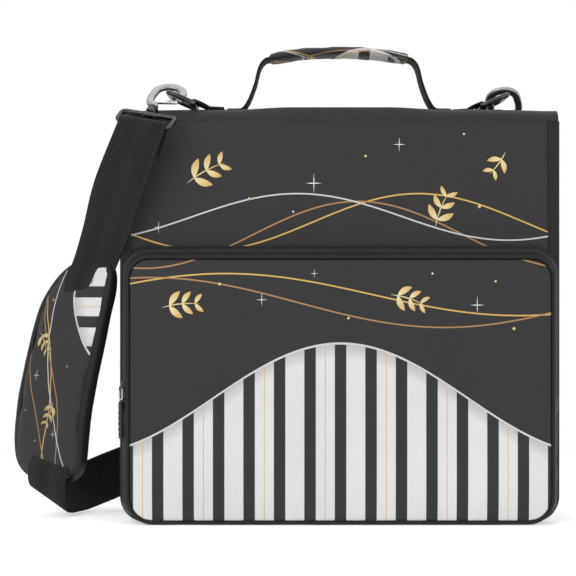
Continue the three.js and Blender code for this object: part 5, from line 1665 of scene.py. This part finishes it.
def seenDirectly(tree):
    # 1 for what the camera or a mirroring surface sees, 0 for light that falls on the binder
    paths = add(tree, "ShaderNodeLightPath")
    nearest = mathOf(tree, "MAXIMUM", paths.outputs["Is Camera Ray"], paths.outputs["Is Glossy Ray"])
    return mathOf(tree, "MAXIMUM", nearest, paths.outputs["Is Transmission Ray"])


def stageAndLight():
    # White floor, three broad soft lamps and an even pale world
    made, tree = newMaterial("matte_white_paper_sweep")
    seen = seenDirectly(tree)
    paper = add(tree, "ShaderNodeBsdfDiffuse", {"Color": linear(studio["floor"])})
    glow = add(tree, "ShaderNodeEmission",
               {"Color": (1, 1, 1, 1), "Strength": mathOf(tree, "MULTIPLY", seen, studio["glow"])})
    both = add(tree, "ShaderNodeAddShader", {0: paper.outputs[0], 1: glow.outputs[0]})
    x = np.array([-900.0, 0, 900])
    y = np.array([-1400.0, 0, 520])
    gx, gy = np.meshgrid(x, y, indexing="ij")
    floor = shell("paper_floor", np.stack([gx, gy, np.zeros_like(gx)], -1),
                  np.stack([gx, gy, np.full_like(gx, -5.0)], -1))
    floor.data.materials.append(shaded(made, both))

    world = bpy.data.worlds.new("pale_studio")
    bpy.context.scene.world = world
    world.use_nodes = True
    tree = world.node_tree
    tree.nodes.clear()
    seen = seenDirectly(tree)
    strength = add(tree, "ShaderNodeMapRange", {"Value": seen, "To Min": studio["world"], "To Max": 1.0}).outputs[0]
    sky = add(tree, "ShaderNodeBackground", {"Color": (1, 1, 1, 1), "Strength": strength})
    add(tree, "ShaderNodeOutputWorld", {0: sky.outputs[0]})

    for name, place, size, power in (("key_softbox", (-0.9, -1.3, 1.1), 1.0, studio["key"]),
                                     ("fill_softbox", (1.1, -1.2, 0.6), 1.2, studio["fill"]),
                                     ("top_softbox", (0.0, 0.3, 1.5), 1.2, studio["top"])):
        lamp = bpy.data.lights.new(name, "AREA")
        lamp.energy = power
        lamp.size = size
        obj = bpy.data.objects.new(name, lamp)
        bpy.context.scene.collection.objects.link(obj)
        obj.location = place
        aim = np.array(studio["aim"]) - np.array(place)
        obj.rotation_euler = Vector(aim).to_track_quat("-Z", "Y").to_euler()


stageAndLight()
camera = bpy.data.cameras.new("photograph_view")
camera.lens = studio["lens"]
camera.sensor_width = studio["sensor"]
view = bpy.data.objects.new("photograph_view", camera)
view.location = studio["camera"]
view.rotation_euler = (math.pi / 2, 0, 0)
bpy.context.scene.collection.objects.link(view)
bpy.context.scene.camera = view
bpy.context.scene.view_settings.view_transform = "Standard"
print("stage, light and camera made")
